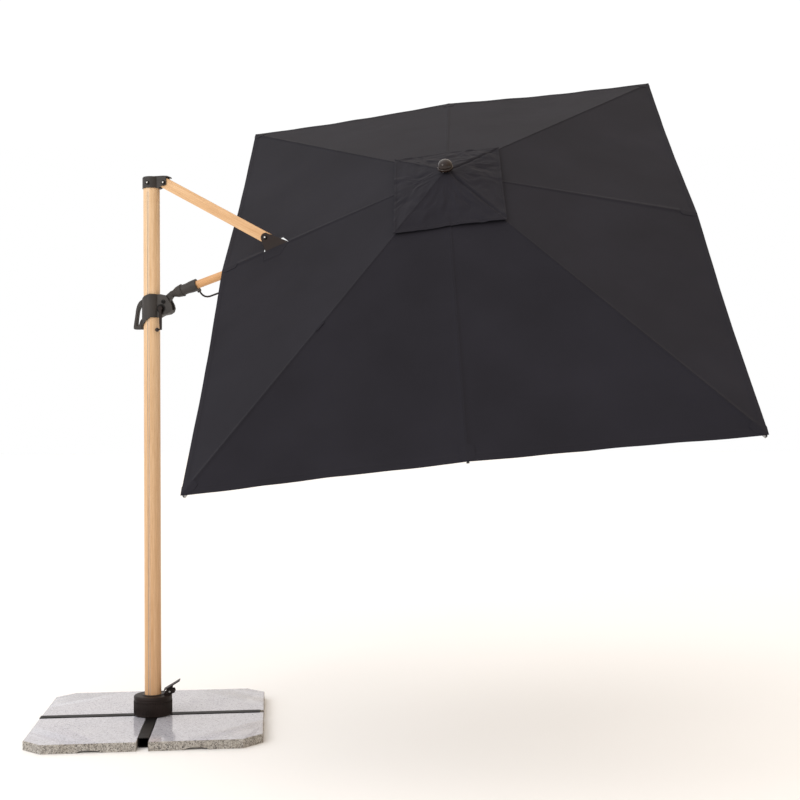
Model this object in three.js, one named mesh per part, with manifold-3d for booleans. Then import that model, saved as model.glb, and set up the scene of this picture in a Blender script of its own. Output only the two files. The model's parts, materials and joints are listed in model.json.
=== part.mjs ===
// Cantilever parasol: a rectangular canopy that hangs from a side mast, turns about the mast,
// tilts about its arm and folds as the slider comes down. Millimetres, +Z up.
// The origin is on the ground under the mast, and +X runs along the long bar of the base.
import * as THREE from "three";
import { mergeVertices } from "three/addons/utils/BufferGeometryUtils.js";
import Module from "manifold-3d";

const wasm = await Module();
wasm.setup();

// ---------------------------------------------------------------- driving dimensions

const DEGREE = Math.PI / 180;
const GAP = 0.3; // between pieces that are fixed to each other
const PLAY = 0.8; // between pieces that slide or turn on each other

// Pose in which the parasol stands: fully open, turned and tilted.
const MAST_TURN = -21.3 * DEGREE; // of the arm from +X, about the mast
const TILT = 41.4 * DEGREE; // of the canopy, about the arm

// Base: four stone slabs in the quarters of a steel cross.
const SLAB_SIDE = 500;
const SLAB_THICKNESS = 40;
const SLAB_CHAMFER = 88;
const SLAB_CLEARANCE = 3; // between a slab and the bars beside it
const GRIP_NOTCH_WIDTH = 108;
const GRIP_NOTCH_HEIGHT = 9;
const GRIP_NOTCH_DEPTH = 30;
const BAR_WIDTH = 46;
const BAR_HEIGHT = 43;
const BAR_WALL = 4;
const RIGHT_BAR_SETBACK = 20; // bar ends inside the slabs' outer edges
const FRONT_BAR_SETBACK = 65;
const REAR_BAR_SETBACK = 20;

// Foot: the turning bearing of the mast, with its release pedal.
const FOOT_RADIUS = 90;
const FOOT_HEIGHT = 92;
const FOOT_FLOOR = 16;
const FOOT_RIM_GROOVE = 1.5;
const BUSH_WALL = 6;
const PEDAL_WIDTH = 58;
const PEDAL_THICKNESS = 4;
const PEDAL_LENGTH = 90;
const PEDAL_SLOPE = 31 * DEGREE;
const PEDAL_MAST_CLEARANCE = 11;
const PEDAL_PIN_RADIUS = 5;
const PEDAL_PIN_HEIGHT = 15; // above the foot
const PEDAL_PIN_REACH = 80; // from the mast's axis
const PEDAL_BRACKET_WIDTH = 44;
const PEDAL_BRACKET_WALL = 5;

// Mast and its head.
const MAST_RADIUS = 39;
const MAST_WALL = 3;
const MAST_GROOVE_WIDTH = 10;
const MAST_GROOVE_DEPTH = 1.5;
const HEAD_PIVOT_HEIGHT = 2573;
const PIVOT_OFFSET = MAST_RADIUS + 33; // of the head and slider pivots from the mast's axis
const HEAD_WALL = 4;
const HEAD_ABOVE_PIVOT = 33;
const HEAD_BELOW_PIVOT = 24;
const HEAD_TOP_THICKNESS = 7;
const HEAD_LIP_REACH = 25; // past the pivot
const FORK_WALL = 6;
const BOLT_RADIUS = 5;
const BOLT_HEAD_RADIUS = 9;
const BOLT_HEAD_HEIGHT = 5;

// Upper strut.
const STRUT_LENGTH = 590; // between pivots, and the same from the knee to the slider pivot
const STRUT_DROP = 28.8 * DEGREE; // below the level, fully open
const STRUT_WIDTH = 30;
const STRUT_DEPTH = 50;
const STRUT_WALL = 2;
const STRUT_TAIL = 12; // past the knee

// Arm: the tube that carries the canopy, turning in the knuckle and the knee bracket.
const ARM_RISE = 17.5 * DEGREE; // above the level, fully open
const ARM_RADIUS = 19;
const ARM_WALL = 2;
const ARM_ABOVE_KNUCKLE = 25;
const ARM_LENGTH = 1464; // from the knuckle to the crown's axis
const COLLAR_START = 40; // stations along the arm, from the knuckle
const COLLAR_END = 98;
const COLLAR_SMALL_RADIUS = 15.5;
const COLLAR_LARGE_RADIUS = 28.5;
const TILT_RING_LENGTH = 5;
const SLEEVE_LENGTH = 77;
const SLEEVE_RADIUS = 29;
const SLEEVE_WAIST_RADIUS = 25;
const SPIGOT_LENGTH = 150;
const KNEE_BRACKET_LENGTH = 150;
const KNEE_BRACKET_RADIUS = 26;
const KNEE_BRACKET_LEAD = 20; // before the knee
const KNEE_CHEEK_WALL = 5;
const KNEE_EAR_RADIUS = 22;
const STOP_COLLAR_LENGTH = 22;
const STOP_COLLAR_RADIUS = 27;
const ROD_RADIUS = 4.5;
const ROD_DROP = 82; // of the tilt rod below the arm's axis
const ROD_BEND = 36;
const ROD_BOSS_DROP = 38;
const ROD_BOSS_WIDTH = 16;

// Slider on the mast.
const SLIDER_WALL = 6;
const SLIDER_CHEEK_WIDTH = 48;
const KNUCKLE_WIDTH = 24;
const KNUCKLE_RADIUS = 22;
const HANDLE_WIDTH = 26;
const LEVER_THICKNESS = 8;
const LEVER_LENGTH = 102;
const LEVER_KNOB_RADIUS = 10;

// Crown: the hub that the ribs hinge on, with its stub pole and runner.
const CANOPY_SET = 15.3 * DEGREE; // between the arm and the plane of the canopy
const APEX_RISE = 88.7; // of the canopy's peak over the arm's axis
const CROWN_HINGE_SETBACK = 62; // of the crown's hinge from the crown's axis
const RIB_PIVOT_CIRCLE = 52; // radius
const RIB_PIVOT_RISE = 35; // over the arm's axis
const CROWN_RADIUS = 62;
const CROWN_THICKNESS = 28;
const CROWN_EAR_RADIUS = 15;
const CROWN_EAR_WALL = 7.5;
const TONGUE_THICKNESS = 12;
const STUB_RADIUS = 16;
const STUB_WALL = 2;
const STUB_BELOW_RUNNER = 30; // past the runner when folded
const RUNNER_THICKNESS = 26;
const POST_RADIUS = 12;
const FINIAL_RADIUS = 35;
const FINIAL_HEIGHT = 44;
const FINIAL_RISE = 17; // of its base over the canopy's peak

// Canopy, ribs and stretchers.
const CANOPY_ALONG = 2200; // along the arm
const CANOPY_ACROSS = 3000;
const CANOPY_HEIGHT = 420; // of the peak over the corners
const LONG_SIDE_LIFT = 54; // middle of a long side over the corners
const SHORT_SIDE_LIFT = 30;
const LONG_SIDE_BOW = 3; // middle of a long side past the line of its corners
const SHORT_SIDE_BOW = 9;
const FABRIC_THICKNESS = 2.5;
const FABRIC_SEAM_GAP = 0.6;
const FABRIC_REST = 1.5; // between the fabric and a rib
const SLIT_START = 738; // slit for the knee bracket, from the crown's axis
const SLIT_END = 892;
const SLIT_HALF_WIDTH = 70;
const VENT_ALONG = 490;
const VENT_ACROSS = 670;
const VENT_RISE = 12; // of the vent cap over the canopy
const RIB_WIDTH = 12;
const RIB_DEPTH = 18;
const RIB_WALL = 1.5;
const RIB_START = 30; // from its pivot
const RIB_TIP_SETBACK = 12;
const HINGE_TAB = 6; // thickness of the tabs that turn in the crown, ribs and runner
const HINGE_PIN_RADIUS = 2.8;
const HINGE_EYE_RADIUS = 9;
const STRETCHER_LENGTH = 230;
const STRETCHER_DROP = 19 * DEGREE; // of the line from a rib's pivot to its stretcher
const STRETCHER_DEPTH = 12;

// Sides of the many-sided solids that stand for round ones.
const LARGE_SIDES = 36;
const TUBE_SIDES = 24;
const SMALL_SIDES = 12;

// Finishes.
const BEECH = { color: 0xe3bb88, roughness: 0.55, metalness: 0.0 };
const BLACK_STEEL = { color: 0x2b2523, roughness: 0.5, metalness: 0.3 };
const BLACK_PLASTIC = { color: 0x3a3532, roughness: 0.6, metalness: 0.0 };
const GLOSS_PLASTIC = { color: 0x241f1e, roughness: 0.15, metalness: 0.0 };
const STAINLESS = { color: 0xc4c4c2, roughness: 0.3, metalness: 1.0 };
const ALUMINIUM = { color: 0x8f9194, roughness: 0.45, metalness: 1.0 };
const GRANITE = { color: 0xb9b7ba, roughness: 0.5, metalness: 0.0 };
const POLYESTER = { color: 0x333237, roughness: 0.95, metalness: 0.0 };

// ---------------------------------------------------------------- solids

// A closed geometry as a solid that can be joined and cut.
function solid(geometry) {
  const bare = geometry.clone();
  bare.deleteAttribute("normal");
  bare.deleteAttribute("uv");
  const merged = mergeVertices(bare, 1e-4);
  const mesh = new wasm.Mesh({
    numProp: 3,
    vertProperties: merged.attributes.position.array,
    triVerts: new Uint32Array(merged.index.array),
  });
  return new wasm.Manifold(mesh);
}

function geometryOf(shape) {
  const mesh = shape.getMesh();
  const geometry = new THREE.BufferGeometry();
  geometry.setAttribute("position", new THREE.BufferAttribute(mesh.vertProperties, 3));
  geometry.setIndex(new THREE.BufferAttribute(mesh.triVerts, 1));
  geometry.computeVertexNormals();
  return geometry;
}

function join(...shapes) {
  return shapes.reduce((whole, shape) => whole.add(shape));
}

function cut(whole, ...tools) {
  return tools.reduce((rest, tool) => rest.subtract(tool), whole);
}

// A box between two values on each axis.
function block([x0, x1], [y0, y1], [z0, z1]) {
  const box = new THREE.BoxGeometry(x1 - x0, y1 - y0, z1 - z0);
  box.translate((x0 + x1) / 2, (y0 + y1) / 2, (z0 + z1) / 2);
  return solid(box);
}

// A round bar between two points.
function bar(radius, from, to, sides = SMALL_SIDES) {
  const start = new THREE.Vector3(...from);
  const along = new THREE.Vector3(...to).sub(start);
  const cylinder = new THREE.CylinderGeometry(radius, radius, along.length(), sides);
  cylinder.translate(0, along.length() / 2, 0);
  const up = new THREE.Vector3(0, 1, 0);
  const turn = new THREE.Quaternion().setFromUnitVectors(up, along.clone().normalize());
  cylinder.applyQuaternion(turn);
  cylinder.translate(...start.toArray());
  return solid(cylinder);
}

// A round bar along Y, centred on the X-Z plane.
function crossBar(radius, width, x, z, sides = SMALL_SIDES) {
  return bar(radius, [x, -width / 2, z], [x, width / 2, z], sides);
}

// An outline in X and Z, made thick along Y between two values.
function plate(outline, from, to) {
  const drawn = outline instanceof THREE.Shape;
  const shape = drawn ? outline : new THREE.Shape(outline.map(([x, z]) => new THREE.Vector2(x, z)));
  const depth = to - from;
  const extruded = new THREE.ExtrudeGeometry(shape, { depth, bevelEnabled: false, curveSegments: 8 });
  extruded.rotateX(Math.PI / 2);
  extruded.translate(0, to, 0);
  return solid(extruded);
}

// An outline in X and Y, made thick along Z between two values.
function slab(outline, from, to) {
  const shape = new THREE.Shape(outline.map(([x, y]) => new THREE.Vector2(x, y)));
  const extruded = new THREE.ExtrudeGeometry(shape, { depth: to - from, bevelEnabled: false });
  extruded.translate(0, 0, from);
  return solid(extruded);
}

// A profile of radius and height turned about Z, bottom first.
function turned(profile, sides = LARGE_SIDES) {
  const points = profile.map(([radius, height]) => new THREE.Vector2(radius, height));
  const lathe = new THREE.LatheGeometry(points, sides);
  lathe.rotateX(Math.PI / 2);
  return solid(lathe);
}

// The same profile turned about X, its heights running along X.
function turnedAlongArm(profile, sides = TUBE_SIDES) {
  const points = profile.map(([station, radius]) => new THREE.Vector2(radius, station));
  const lathe = new THREE.LatheGeometry(points, sides);
  lathe.rotateZ(-Math.PI / 2);
  return solid(lathe);
}

// A through bolt along Y with a round head on each side of what it holds.
function bolt(width, x, z, radius = BOLT_RADIUS, headRadius = BOLT_HEAD_RADIUS) {
  const face = width / 2 + GAP;
  const shank = crossBar(radius, 2 * face + 1, x, z);
  const front = bar(headRadius, [x, -face - BOLT_HEAD_HEIGHT, z], [x, -face, z]);
  const back = bar(headRadius, [x, face, z], [x, face + BOLT_HEAD_HEIGHT, z]);
  return join(shank, front, back);
}

function boltHole(width, x, z, radius = BOLT_RADIUS) {
  return crossBar(radius + GAP, width, x, z);
}

// ---------------------------------------------------------------- frames

// Each frame is a group whose origin and axes are those of the pieces it carries.
function frame(name, parent, place, turn = {}) {
  const group = new THREE.Group();
  group.name = name;
  group.position.set(...place);
  group.rotation.set(turn.x || 0, turn.y || 0, turn.z || 0);
  parent.add(group);
  return group;
}

function piece(parent, name, shape, finish) {
  const mesh = new THREE.Mesh(geometryOf(shape), new THREE.MeshStandardMaterial(finish));
  mesh.name = name;
  parent.add(mesh);
  return mesh;
}

const strutReach = STRUT_LENGTH * Math.cos(STRUT_DROP);
const strutFall = STRUT_LENGTH * Math.sin(STRUT_DROP);
const sliderHeight = HEAD_PIVOT_HEIGHT - 2 * strutFall;

const parasol = frame("parasol", new THREE.Group(), [0, 0, 0]);
const mastFrame = frame("mast_frame", parasol, [0, 0, 0], { z: MAST_TURN });
const headPivot = [PIVOT_OFFSET, 0, HEAD_PIVOT_HEIGHT];
const sliderPivot = [PIVOT_OFFSET, 0, sliderHeight];
const strutFrame = frame("strut_frame", mastFrame, headPivot, { y: STRUT_DROP });
const sliderFrame = frame("slider_frame", mastFrame, [0, 0, sliderHeight]);
const knuckleFrame = frame("knuckle_frame", mastFrame, sliderPivot, { y: -ARM_RISE });
const carrierFrame = frame("carrier_frame", knuckleFrame, [0, 0, ARM_ABOVE_KNUCKLE]);
const armFrame = frame("arm_frame", carrierFrame, [0, 0, 0], { x: TILT });
const crownFrame = frame("crown_frame", armFrame, [ARM_LENGTH, 0, 0], { y: CANOPY_SET });

// The knee, in the arm's frame before it tilts.
const kneeAngle = STRUT_DROP - ARM_RISE;
const kneeStation = STRUT_LENGTH * Math.cos(kneeAngle);
const kneeRise = STRUT_LENGTH * Math.sin(kneeAngle) - ARM_ABOVE_KNUCKLE;
frame("knee_frame", carrierFrame, [kneeStation, 0, kneeRise]);

// ---------------------------------------------------------------- base

const slabInner = BAR_WIDTH / 2 + SLAB_CLEARANCE;
const slabOuter = slabInner + SLAB_SIDE;

// One slab, in the quarter that its two signs name, with a finger notch under each outer edge.
function stoneSlab(signX, signY) {
  const outline = [
    [slabInner, slabInner],
    [slabOuter, slabInner],
    [slabOuter, slabOuter - SLAB_CHAMFER],
    [slabOuter - SLAB_CHAMFER, slabOuter],
    [slabInner, slabOuter],
  ].map(([x, y]) => [signX * x, signY * y]);
  const middle = (slabInner + slabOuter - SLAB_CHAMFER) / 2;
  const notchSide = [middle - GRIP_NOTCH_WIDTH / 2, middle + GRIP_NOTCH_WIDTH / 2];
  const notchIn = [slabOuter - GRIP_NOTCH_DEPTH, slabOuter + 1];
  const notchUp = [-1, GRIP_NOTCH_HEIGHT];
  const signed = (sign, [low, high]) => (sign > 0 ? [low, high] : [-high, -low]);
  const sideNotch = block(signed(signX, notchIn), signed(signY, notchSide), notchUp);
  const endNotch = block(signed(signX, notchSide), signed(signY, notchIn), notchUp);
  return cut(slab(outline, 0, SLAB_THICKNESS), sideNotch, endNotch);
}

// A hollow square bar between two ends along X.
function boxBar(from, to) {
  const half = BAR_WIDTH / 2;
  const hollow = half - BAR_WALL;
  const outside = block([from, to], [-half, half], [0, BAR_HEIGHT]);
  const inside = block([from - 1, to + 1], [-hollow, hollow], [BAR_WALL, BAR_HEIGHT - BAR_WALL]);
  return cut(outside, inside);
}

for (const [side, signX] of [["left", -1], ["right", 1]]) {
  for (const [end, signY] of [["front", -1], ["rear", 1]]) {
    piece(parasol, "slab_" + end + "_" + side, stoneSlab(signX, signY), GRANITE);
  }
}
piece(parasol, "cross_bar_long", boxBar(-slabOuter, slabOuter - RIGHT_BAR_SETBACK), BLACK_STEEL);
const halfBarStart = BAR_WIDTH / 2 + GAP;
const frontBar = boxBar(halfBarStart, slabOuter - FRONT_BAR_SETBACK);
piece(parasol, "cross_bar_front", frontBar, BLACK_STEEL).rotation.z = -Math.PI / 2;
const rearBar = boxBar(halfBarStart, slabOuter - REAR_BAR_SETBACK);
piece(parasol, "cross_bar_rear", rearBar, BLACK_STEEL).rotation.z = Math.PI / 2;

// ---------------------------------------------------------------- foot and pedal

const footBottom = BAR_HEIGHT + GAP;
const footTop = footBottom + FOOT_HEIGHT;
const bushInner = MAST_RADIUS + PLAY;
const bushOuter = bushInner + BUSH_WALL;
const mastBottom = footBottom + FOOT_FLOOR + 2 * GAP + BUSH_WALL;

// The socket: a round housing with a rounded top edge and two fine grooves round it.
function footSocket() {
  const groove = (height) => [
    [FOOT_RADIUS, height],
    [FOOT_RADIUS - FOOT_RIM_GROOVE, height + 1],
    [FOOT_RADIUS - FOOT_RIM_GROOVE, height + 3],
    [FOOT_RADIUS, height + 4],
  ];
  const bore = bushOuter + GAP;
  return turned([
    [0, footBottom],
    [FOOT_RADIUS - 2, footBottom],
    [FOOT_RADIUS, footBottom + 2],
    ...groove(footTop - 32),
    ...groove(footTop - 20),
    [FOOT_RADIUS, footTop - 6],
    [FOOT_RADIUS - 3, footTop - 2],
    [FOOT_RADIUS - 8, footTop],
    [bore, footTop],
    [bore, footBottom + FOOT_FLOOR],
    [0, footBottom + FOOT_FLOOR],
  ]);
}

// The bush that the mast turns in, with a flange over the socket and a floor under the mast.
function swivelBush() {
  const floor = footBottom + FOOT_FLOOR + GAP;
  return turned([
    [0, floor],
    [bushOuter, floor],
    [bushOuter, footTop + GAP],
    [bushOuter + 5, footTop + GAP],
    [bushOuter + 5, footTop + 3],
    [bushInner, footTop + 3],
    [bushInner, floor + BUSH_WALL],
    [0, floor + BUSH_WALL],
  ]);
}

const pedalPinHeight = footTop + PEDAL_PIN_HEIGHT;

// Two cheeks on a sole plate, screwed to the top of the foot.
function pedalBracket() {
  const sole = footTop + GAP;
  const half = PEDAL_BRACKET_WIDTH / 2;
  const inner = bushOuter + 6 + GAP;
  const outer = PEDAL_PIN_REACH + 26;
  const cheek = [
    [inner, sole],
    [outer - 22, sole],
    [outer, pedalPinHeight - 4],
    [outer - 4, pedalPinHeight + 10],
    [PEDAL_PIN_REACH, pedalPinHeight + 11],
    [inner + 2, sole + 8],
  ];
  const room = half - PEDAL_BRACKET_WALL;
  const above = [sole + PEDAL_BRACKET_WALL, pedalPinHeight + 30];
  const inside = block([inner - 1, outer + 1], [-room, room], above);
  const bore = boltHole(PEDAL_BRACKET_WIDTH + 2, PEDAL_PIN_REACH, pedalPinHeight, PEDAL_PIN_RADIUS);
  return cut(plate(cheek, -half, half), inside, bore);
}

// The sloping tread with the two lugs that it hinges on.
function turnPedal() {
  const start = MAST_RADIUS + PEDAL_MAST_CLEARANCE;
  const slope = Math.tan(PEDAL_SLOPE);
  const rise = footTop + 17;
  const end = start + PEDAL_LENGTH * Math.cos(PEDAL_SLOPE);
  const treadAt = (x) => rise + (x - start) * slope;
  const thickness = PEDAL_THICKNESS / Math.cos(PEDAL_SLOPE);
  const tread = [
    [start, treadAt(start)],
    [end, treadAt(end)],
    [end - 1.5, treadAt(end) + 0.6 * thickness],
    [start + 2, treadAt(start) + thickness + 2 * slope],
  ];
  const lugOuter = PEDAL_BRACKET_WIDTH / 2 - PEDAL_BRACKET_WALL - PLAY;
  const lugInner = lugOuter - 5;
  const x = PEDAL_PIN_REACH;
  const lug = [
    [x - 8, pedalPinHeight - 3],
    [x - 3, pedalPinHeight - 8],
    [x + 3, pedalPinHeight - 8],
    [x + 9, pedalPinHeight],
    [x + 16, treadAt(x + 16) + 1],
    [x - 18, treadAt(x - 18) + 1],
  ];
  const lugs = join(plate(lug, lugInner, lugOuter), plate(lug, -lugOuter, -lugInner));
  const whole = join(plate(tread, -PEDAL_WIDTH / 2, PEDAL_WIDTH / 2), lugs);
  return cut(whole, boltHole(PEDAL_WIDTH, x, pedalPinHeight, PEDAL_PIN_RADIUS));
}

piece(parasol, "foot_socket", footSocket(), BLACK_STEEL);
piece(parasol, "swivel_bush", swivelBush(), BLACK_PLASTIC);
piece(parasol, "pedal_bracket", pedalBracket(), BLACK_STEEL);
piece(parasol, "turn_pedal", turnPedal(), BLACK_STEEL);
const pedalPin = bolt(PEDAL_BRACKET_WIDTH, PEDAL_PIN_REACH, pedalPinHeight, PEDAL_PIN_RADIUS, 8);
piece(parasol, "pedal_pin", pedalPin, STAINLESS);
frame("pedal_frame", parasol, [PEDAL_PIN_REACH, 0, pedalPinHeight]);

// ---------------------------------------------------------------- mast and head

const headBottom = HEAD_PIVOT_HEIGHT - HEAD_BELOW_PIVOT;
const headTop = HEAD_PIVOT_HEIGHT + HEAD_ABOVE_PIVOT;
const headRadius = MAST_RADIUS + HEAD_WALL;
const mastTop = headTop - HEAD_TOP_THICKNESS - GAP;
const forkHalf = STRUT_WIDTH / 2 + PLAY;

function mastTube() {
  const inner = MAST_RADIUS - MAST_WALL;
  const tube = cut(
    bar(MAST_RADIUS, [0, 0, mastBottom], [0, 0, mastTop], LARGE_SIDES),
    bar(inner, [0, 0, mastBottom - 1], [0, 0, mastTop + 1], LARGE_SIDES),
  );
  const grooves = [-1, 1].map((side) => {
    const deep = side * (MAST_RADIUS - MAST_GROOVE_DEPTH);
    const out = side * (MAST_RADIUS + 1);
    const across = [Math.min(deep, out), Math.max(deep, out)];
    const along = [mastBottom - 1, headBottom - 20];
    return block([-MAST_GROOVE_WIDTH / 2, MAST_GROOVE_WIDTH / 2], across, along);
  });
  return cut(tube, ...grooves, boltHole(4 * MAST_RADIUS, 0, HEAD_PIVOT_HEIGHT));
}

// The cap over the mast's end, with a fork for the strut and a lip that sheds rain over it.
function headCap() {
  const forkOuter = forkHalf + FORK_WALL;
  const nose = PIVOT_OFFSET + 13;
  const lip = PIVOT_OFFSET + HEAD_LIP_REACH;
  const cheek = [
    [0, headBottom],
    [headRadius - 1, headBottom],
    [headRadius + 8, headBottom + 5],
    [headRadius + 18, headBottom + 9],
    [nose - 4, headBottom + 11],
    [nose, headBottom + 16],
    [nose, headTop - HEAD_TOP_THICKNESS],
    [lip - 3, headTop - HEAD_TOP_THICKNESS - 3],
    [lip, headTop - HEAD_TOP_THICKNESS],
    [lip - 4, headTop - 2],
    [PIVOT_OFFSET, headTop],
    [0, headTop],
  ];
  const dome = turned([
    [0, headBottom],
    [headRadius, headBottom],
    [headRadius, headTop - 6],
    [headRadius - 4, headTop - 1.5],
    [headRadius / 2, headTop],
    [0, headTop],
  ]);
  const bore = bar(MAST_RADIUS + GAP, [0, 0, headBottom - 1], [0, 0, mastTop + GAP], LARGE_SIDES);
  const slot = block(
    [headRadius + 2, lip + 5],
    [-forkHalf, forkHalf],
    [headBottom - 1, headTop - HEAD_TOP_THICKNESS],
  );
  const strutHole = boltHole(2 * forkOuter + 2, PIVOT_OFFSET, HEAD_PIVOT_HEIGHT);
  const mastHole = boltHole(2 * headRadius + 2, 0, HEAD_PIVOT_HEIGHT);
  return cut(join(dome, plate(cheek, -forkOuter, forkOuter)), bore, slot, strutHole, mastHole);
}

piece(mastFrame, "mast_tube", mastTube(), BEECH);
piece(mastFrame, "head_cap", headCap(), BLACK_PLASTIC);
piece(mastFrame, "head_bolt", bolt(2 * headRadius, 0, HEAD_PIVOT_HEIGHT), STAINLESS);
const strutBolt = bolt(2 * (forkHalf + FORK_WALL), PIVOT_OFFSET, HEAD_PIVOT_HEIGHT);
piece(mastFrame, "strut_bolt", strutBolt, STAINLESS);

// ---------------------------------------------------------------- strut

// A rectangular tube, rounded at the head so that it turns inside the fork.
function strutTube() {
  const half = STRUT_DEPTH / 2;
  const end = STRUT_LENGTH + STRUT_TAIL;
  const side = new THREE.Shape();
  side.moveTo(0, half);
  side.absarc(0, 0, half, Math.PI / 2, (3 * Math.PI) / 2);
  side.lineTo(end, -half);
  side.lineTo(end, half);
  const room = STRUT_WIDTH / 2 - STRUT_WALL;
  const inside = block([-half - 1, end + 1], [-room, room], [STRUT_WALL - half, half - STRUT_WALL]);
  const holes = [0, STRUT_LENGTH].map((x) => boltHole(STRUT_WIDTH + 2, x, 0));
  return cut(plate(side, -STRUT_WIDTH / 2, STRUT_WIDTH / 2), inside, ...holes);
}

piece(strutFrame, "strut_tube", strutTube(), BEECH);

// ---------------------------------------------------------------- knuckle and knee bracket

const spigotEnd = COLLAR_END + SPIGOT_LENGTH;
const spigotRadius = ARM_RADIUS - ARM_WALL - PLAY;

// The knuckle hinges on the slider; its cone meets the tilt ring and its spigot runs inside the arm.
// The neck is low behind the eye, so that it clears the slider when the arm stands up folded.
function knuckle() {
  const half = KNUCKLE_WIDTH / 2;
  const eye = crossBar(KNUCKLE_RADIUS, KNUCKLE_WIDTH, 0, -ARM_ABOVE_KNUCKLE, TUBE_SIDES);
  const neck = plate([
    [-6, -ARM_ABOVE_KNUCKLE + 20],
    [6, -ARM_ABOVE_KNUCKLE - 20],
    [COLLAR_START + 6, -COLLAR_SMALL_RADIUS + 2],
    [COLLAR_START + 6, COLLAR_SMALL_RADIUS - 2],
    [16, -ARM_ABOVE_KNUCKLE + 28],
  ], -half + 1, half - 1);
  const cone = turnedAlongArm([
    [COLLAR_START, 0],
    [COLLAR_START, COLLAR_SMALL_RADIUS],
    [COLLAR_START + 14, COLLAR_SMALL_RADIUS + 1],
    [COLLAR_END - 24, COLLAR_LARGE_RADIUS - 3],
    [COLLAR_END - 8, COLLAR_LARGE_RADIUS],
    [COLLAR_END, COLLAR_LARGE_RADIUS],
    [COLLAR_END, spigotRadius],
    [spigotEnd, spigotRadius],
    [spigotEnd, 0],
  ]);
  const hole = boltHole(KNUCKLE_WIDTH + 2, 0, -ARM_ABOVE_KNUCKLE);
  return cut(join(eye, neck, cone), hole);
}

const bracketStart = kneeStation - KNEE_BRACKET_LEAD;
const bracketEnd = bracketStart + KNEE_BRACKET_LENGTH;
const cheekInner = STRUT_WIDTH / 2 + PLAY;
const cheekOuter = cheekInner + KNEE_CHEEK_WALL;

// A long sleeve on the arm with two gusseted cheeks that rise through the canopy to the knee bolt.
function kneeBracket() {
  const sleeve = bar(KNEE_BRACKET_RADIUS, [bracketStart, 0, 0], [bracketEnd, 0, 0], TUBE_SIDES);
  const gusset = new THREE.Shape();
  gusset.moveTo(bracketStart + 4, 0);
  gusset.lineTo(bracketEnd - 6, 0);
  gusset.lineTo(bracketEnd - 10, 20);
  const earStart = 0.7;
  const earX = kneeStation + KNEE_EAR_RADIUS * Math.cos(earStart);
  gusset.lineTo(earX, kneeRise + KNEE_EAR_RADIUS * Math.sin(earStart));
  gusset.absarc(kneeStation, kneeRise, KNEE_EAR_RADIUS, earStart, Math.PI + 0.1);
  const cheeks = join(
    plate(gusset, cheekInner, cheekOuter),
    plate(gusset, -cheekOuter, -cheekInner),
  );
  const bore = bar(ARM_RADIUS + PLAY, [bracketStart - 1, 0, 0], [bracketEnd + 1, 0, 0], TUBE_SIDES);
  const hole = boltHole(2 * cheekOuter + 2, kneeStation, kneeRise);
  return cut(join(sleeve, cheeks), bore, hole);
}

piece(carrierFrame, "knuckle", knuckle(), BLACK_PLASTIC);
piece(carrierFrame, "knee_bracket", kneeBracket(), BLACK_STEEL);
piece(carrierFrame, "knee_bolt", bolt(2 * cheekOuter, kneeStation, kneeRise), STAINLESS);

// ---------------------------------------------------------------- slider

const sliderBore = MAST_RADIUS + PLAY + 1;
const sliderRadius = sliderBore + SLIDER_WALL;
const cheekHalf = SLIDER_CHEEK_WIDTH / 2;

// The housing round the mast; its two cheeks hold the knuckle. Heights count from the knuckle's pin.
function sliderHousing() {
  const side = [
    [-sliderRadius - 1, 8],
    [-sliderRadius + 24, 27],
    [10, 38],
    [PIVOT_OFFSET - 12, 36],
    [PIVOT_OFFSET + 8, 31],
    [PIVOT_OFFSET + 24, 12],
    [PIVOT_OFFSET + 38, -14],
    [PIVOT_OFFSET + 42, -32],
    [PIVOT_OFFSET + 36, -48],
    [PIVOT_OFFSET + 20, -58],
    [PIVOT_OFFSET - 8, -62],
    [sliderRadius - 8, -74],
    [12, -74],
    [-10, -90],
    [-sliderRadius + 12, -112],
    [-sliderRadius, -126],
    [-sliderRadius - 1, -126],
  ];
  const body = plate(side, -sliderRadius - 1, sliderRadius + 1);
  const plan = join(
    bar(sliderRadius, [0, 0, -140], [0, 0, 60], LARGE_SIDES),
    block([0, PIVOT_OFFSET + 60], [-cheekHalf, cheekHalf], [-140, 60]),
  );
  const bore = bar(sliderBore, [0, 0, -141], [0, 0, 61], LARGE_SIDES);
  const room = KNUCKLE_WIDTH / 2 + PLAY;
  const slot = block([sliderRadius + 1, PIVOT_OFFSET + 61], [-room, room], [-38, 61]);
  const pinHole = boltHole(SLIDER_CHEEK_WIDTH + 2, PIVOT_OFFSET, 0);
  return cut(body.intersect(plan), bore, slot, pinHole);
}

// A pull handle that leans away from the mast towards its foot, open between its two ends.
function sliderHandle() {
  const seat = -sliderRadius - GAP;
  const outline = new THREE.Shape();
  outline.moveTo(seat, 14);
  outline.lineTo(seat, -12);
  outline.quadraticCurveTo(seat - 16, -18, seat - 22, -50);
  outline.lineTo(seat - 28, -98);
  outline.quadraticCurveTo(seat - 30, -113, seat - 24, -113);
  outline.quadraticCurveTo(seat - 17, -113, seat - 12, -98);
  outline.quadraticCurveTo(seat - 8, -84, seat, -78);
  outline.lineTo(seat, -128);
  outline.lineTo(seat - 36, -128);
  outline.quadraticCurveTo(seat - 45, -127, seat - 43, -112);
  outline.lineTo(seat - 33, -51);
  outline.quadraticCurveTo(seat - 28, 2, seat, 14);
  return plate(outline, -HANDLE_WIDTH / 2, HANDLE_WIDTH / 2);
}

const leverX = PIVOT_OFFSET - 12;
const leverZ = -32;
const leverFace = -cheekHalf - GAP;
const leverFoot = [leverX + 2, leverZ - LEVER_LENGTH];

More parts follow.
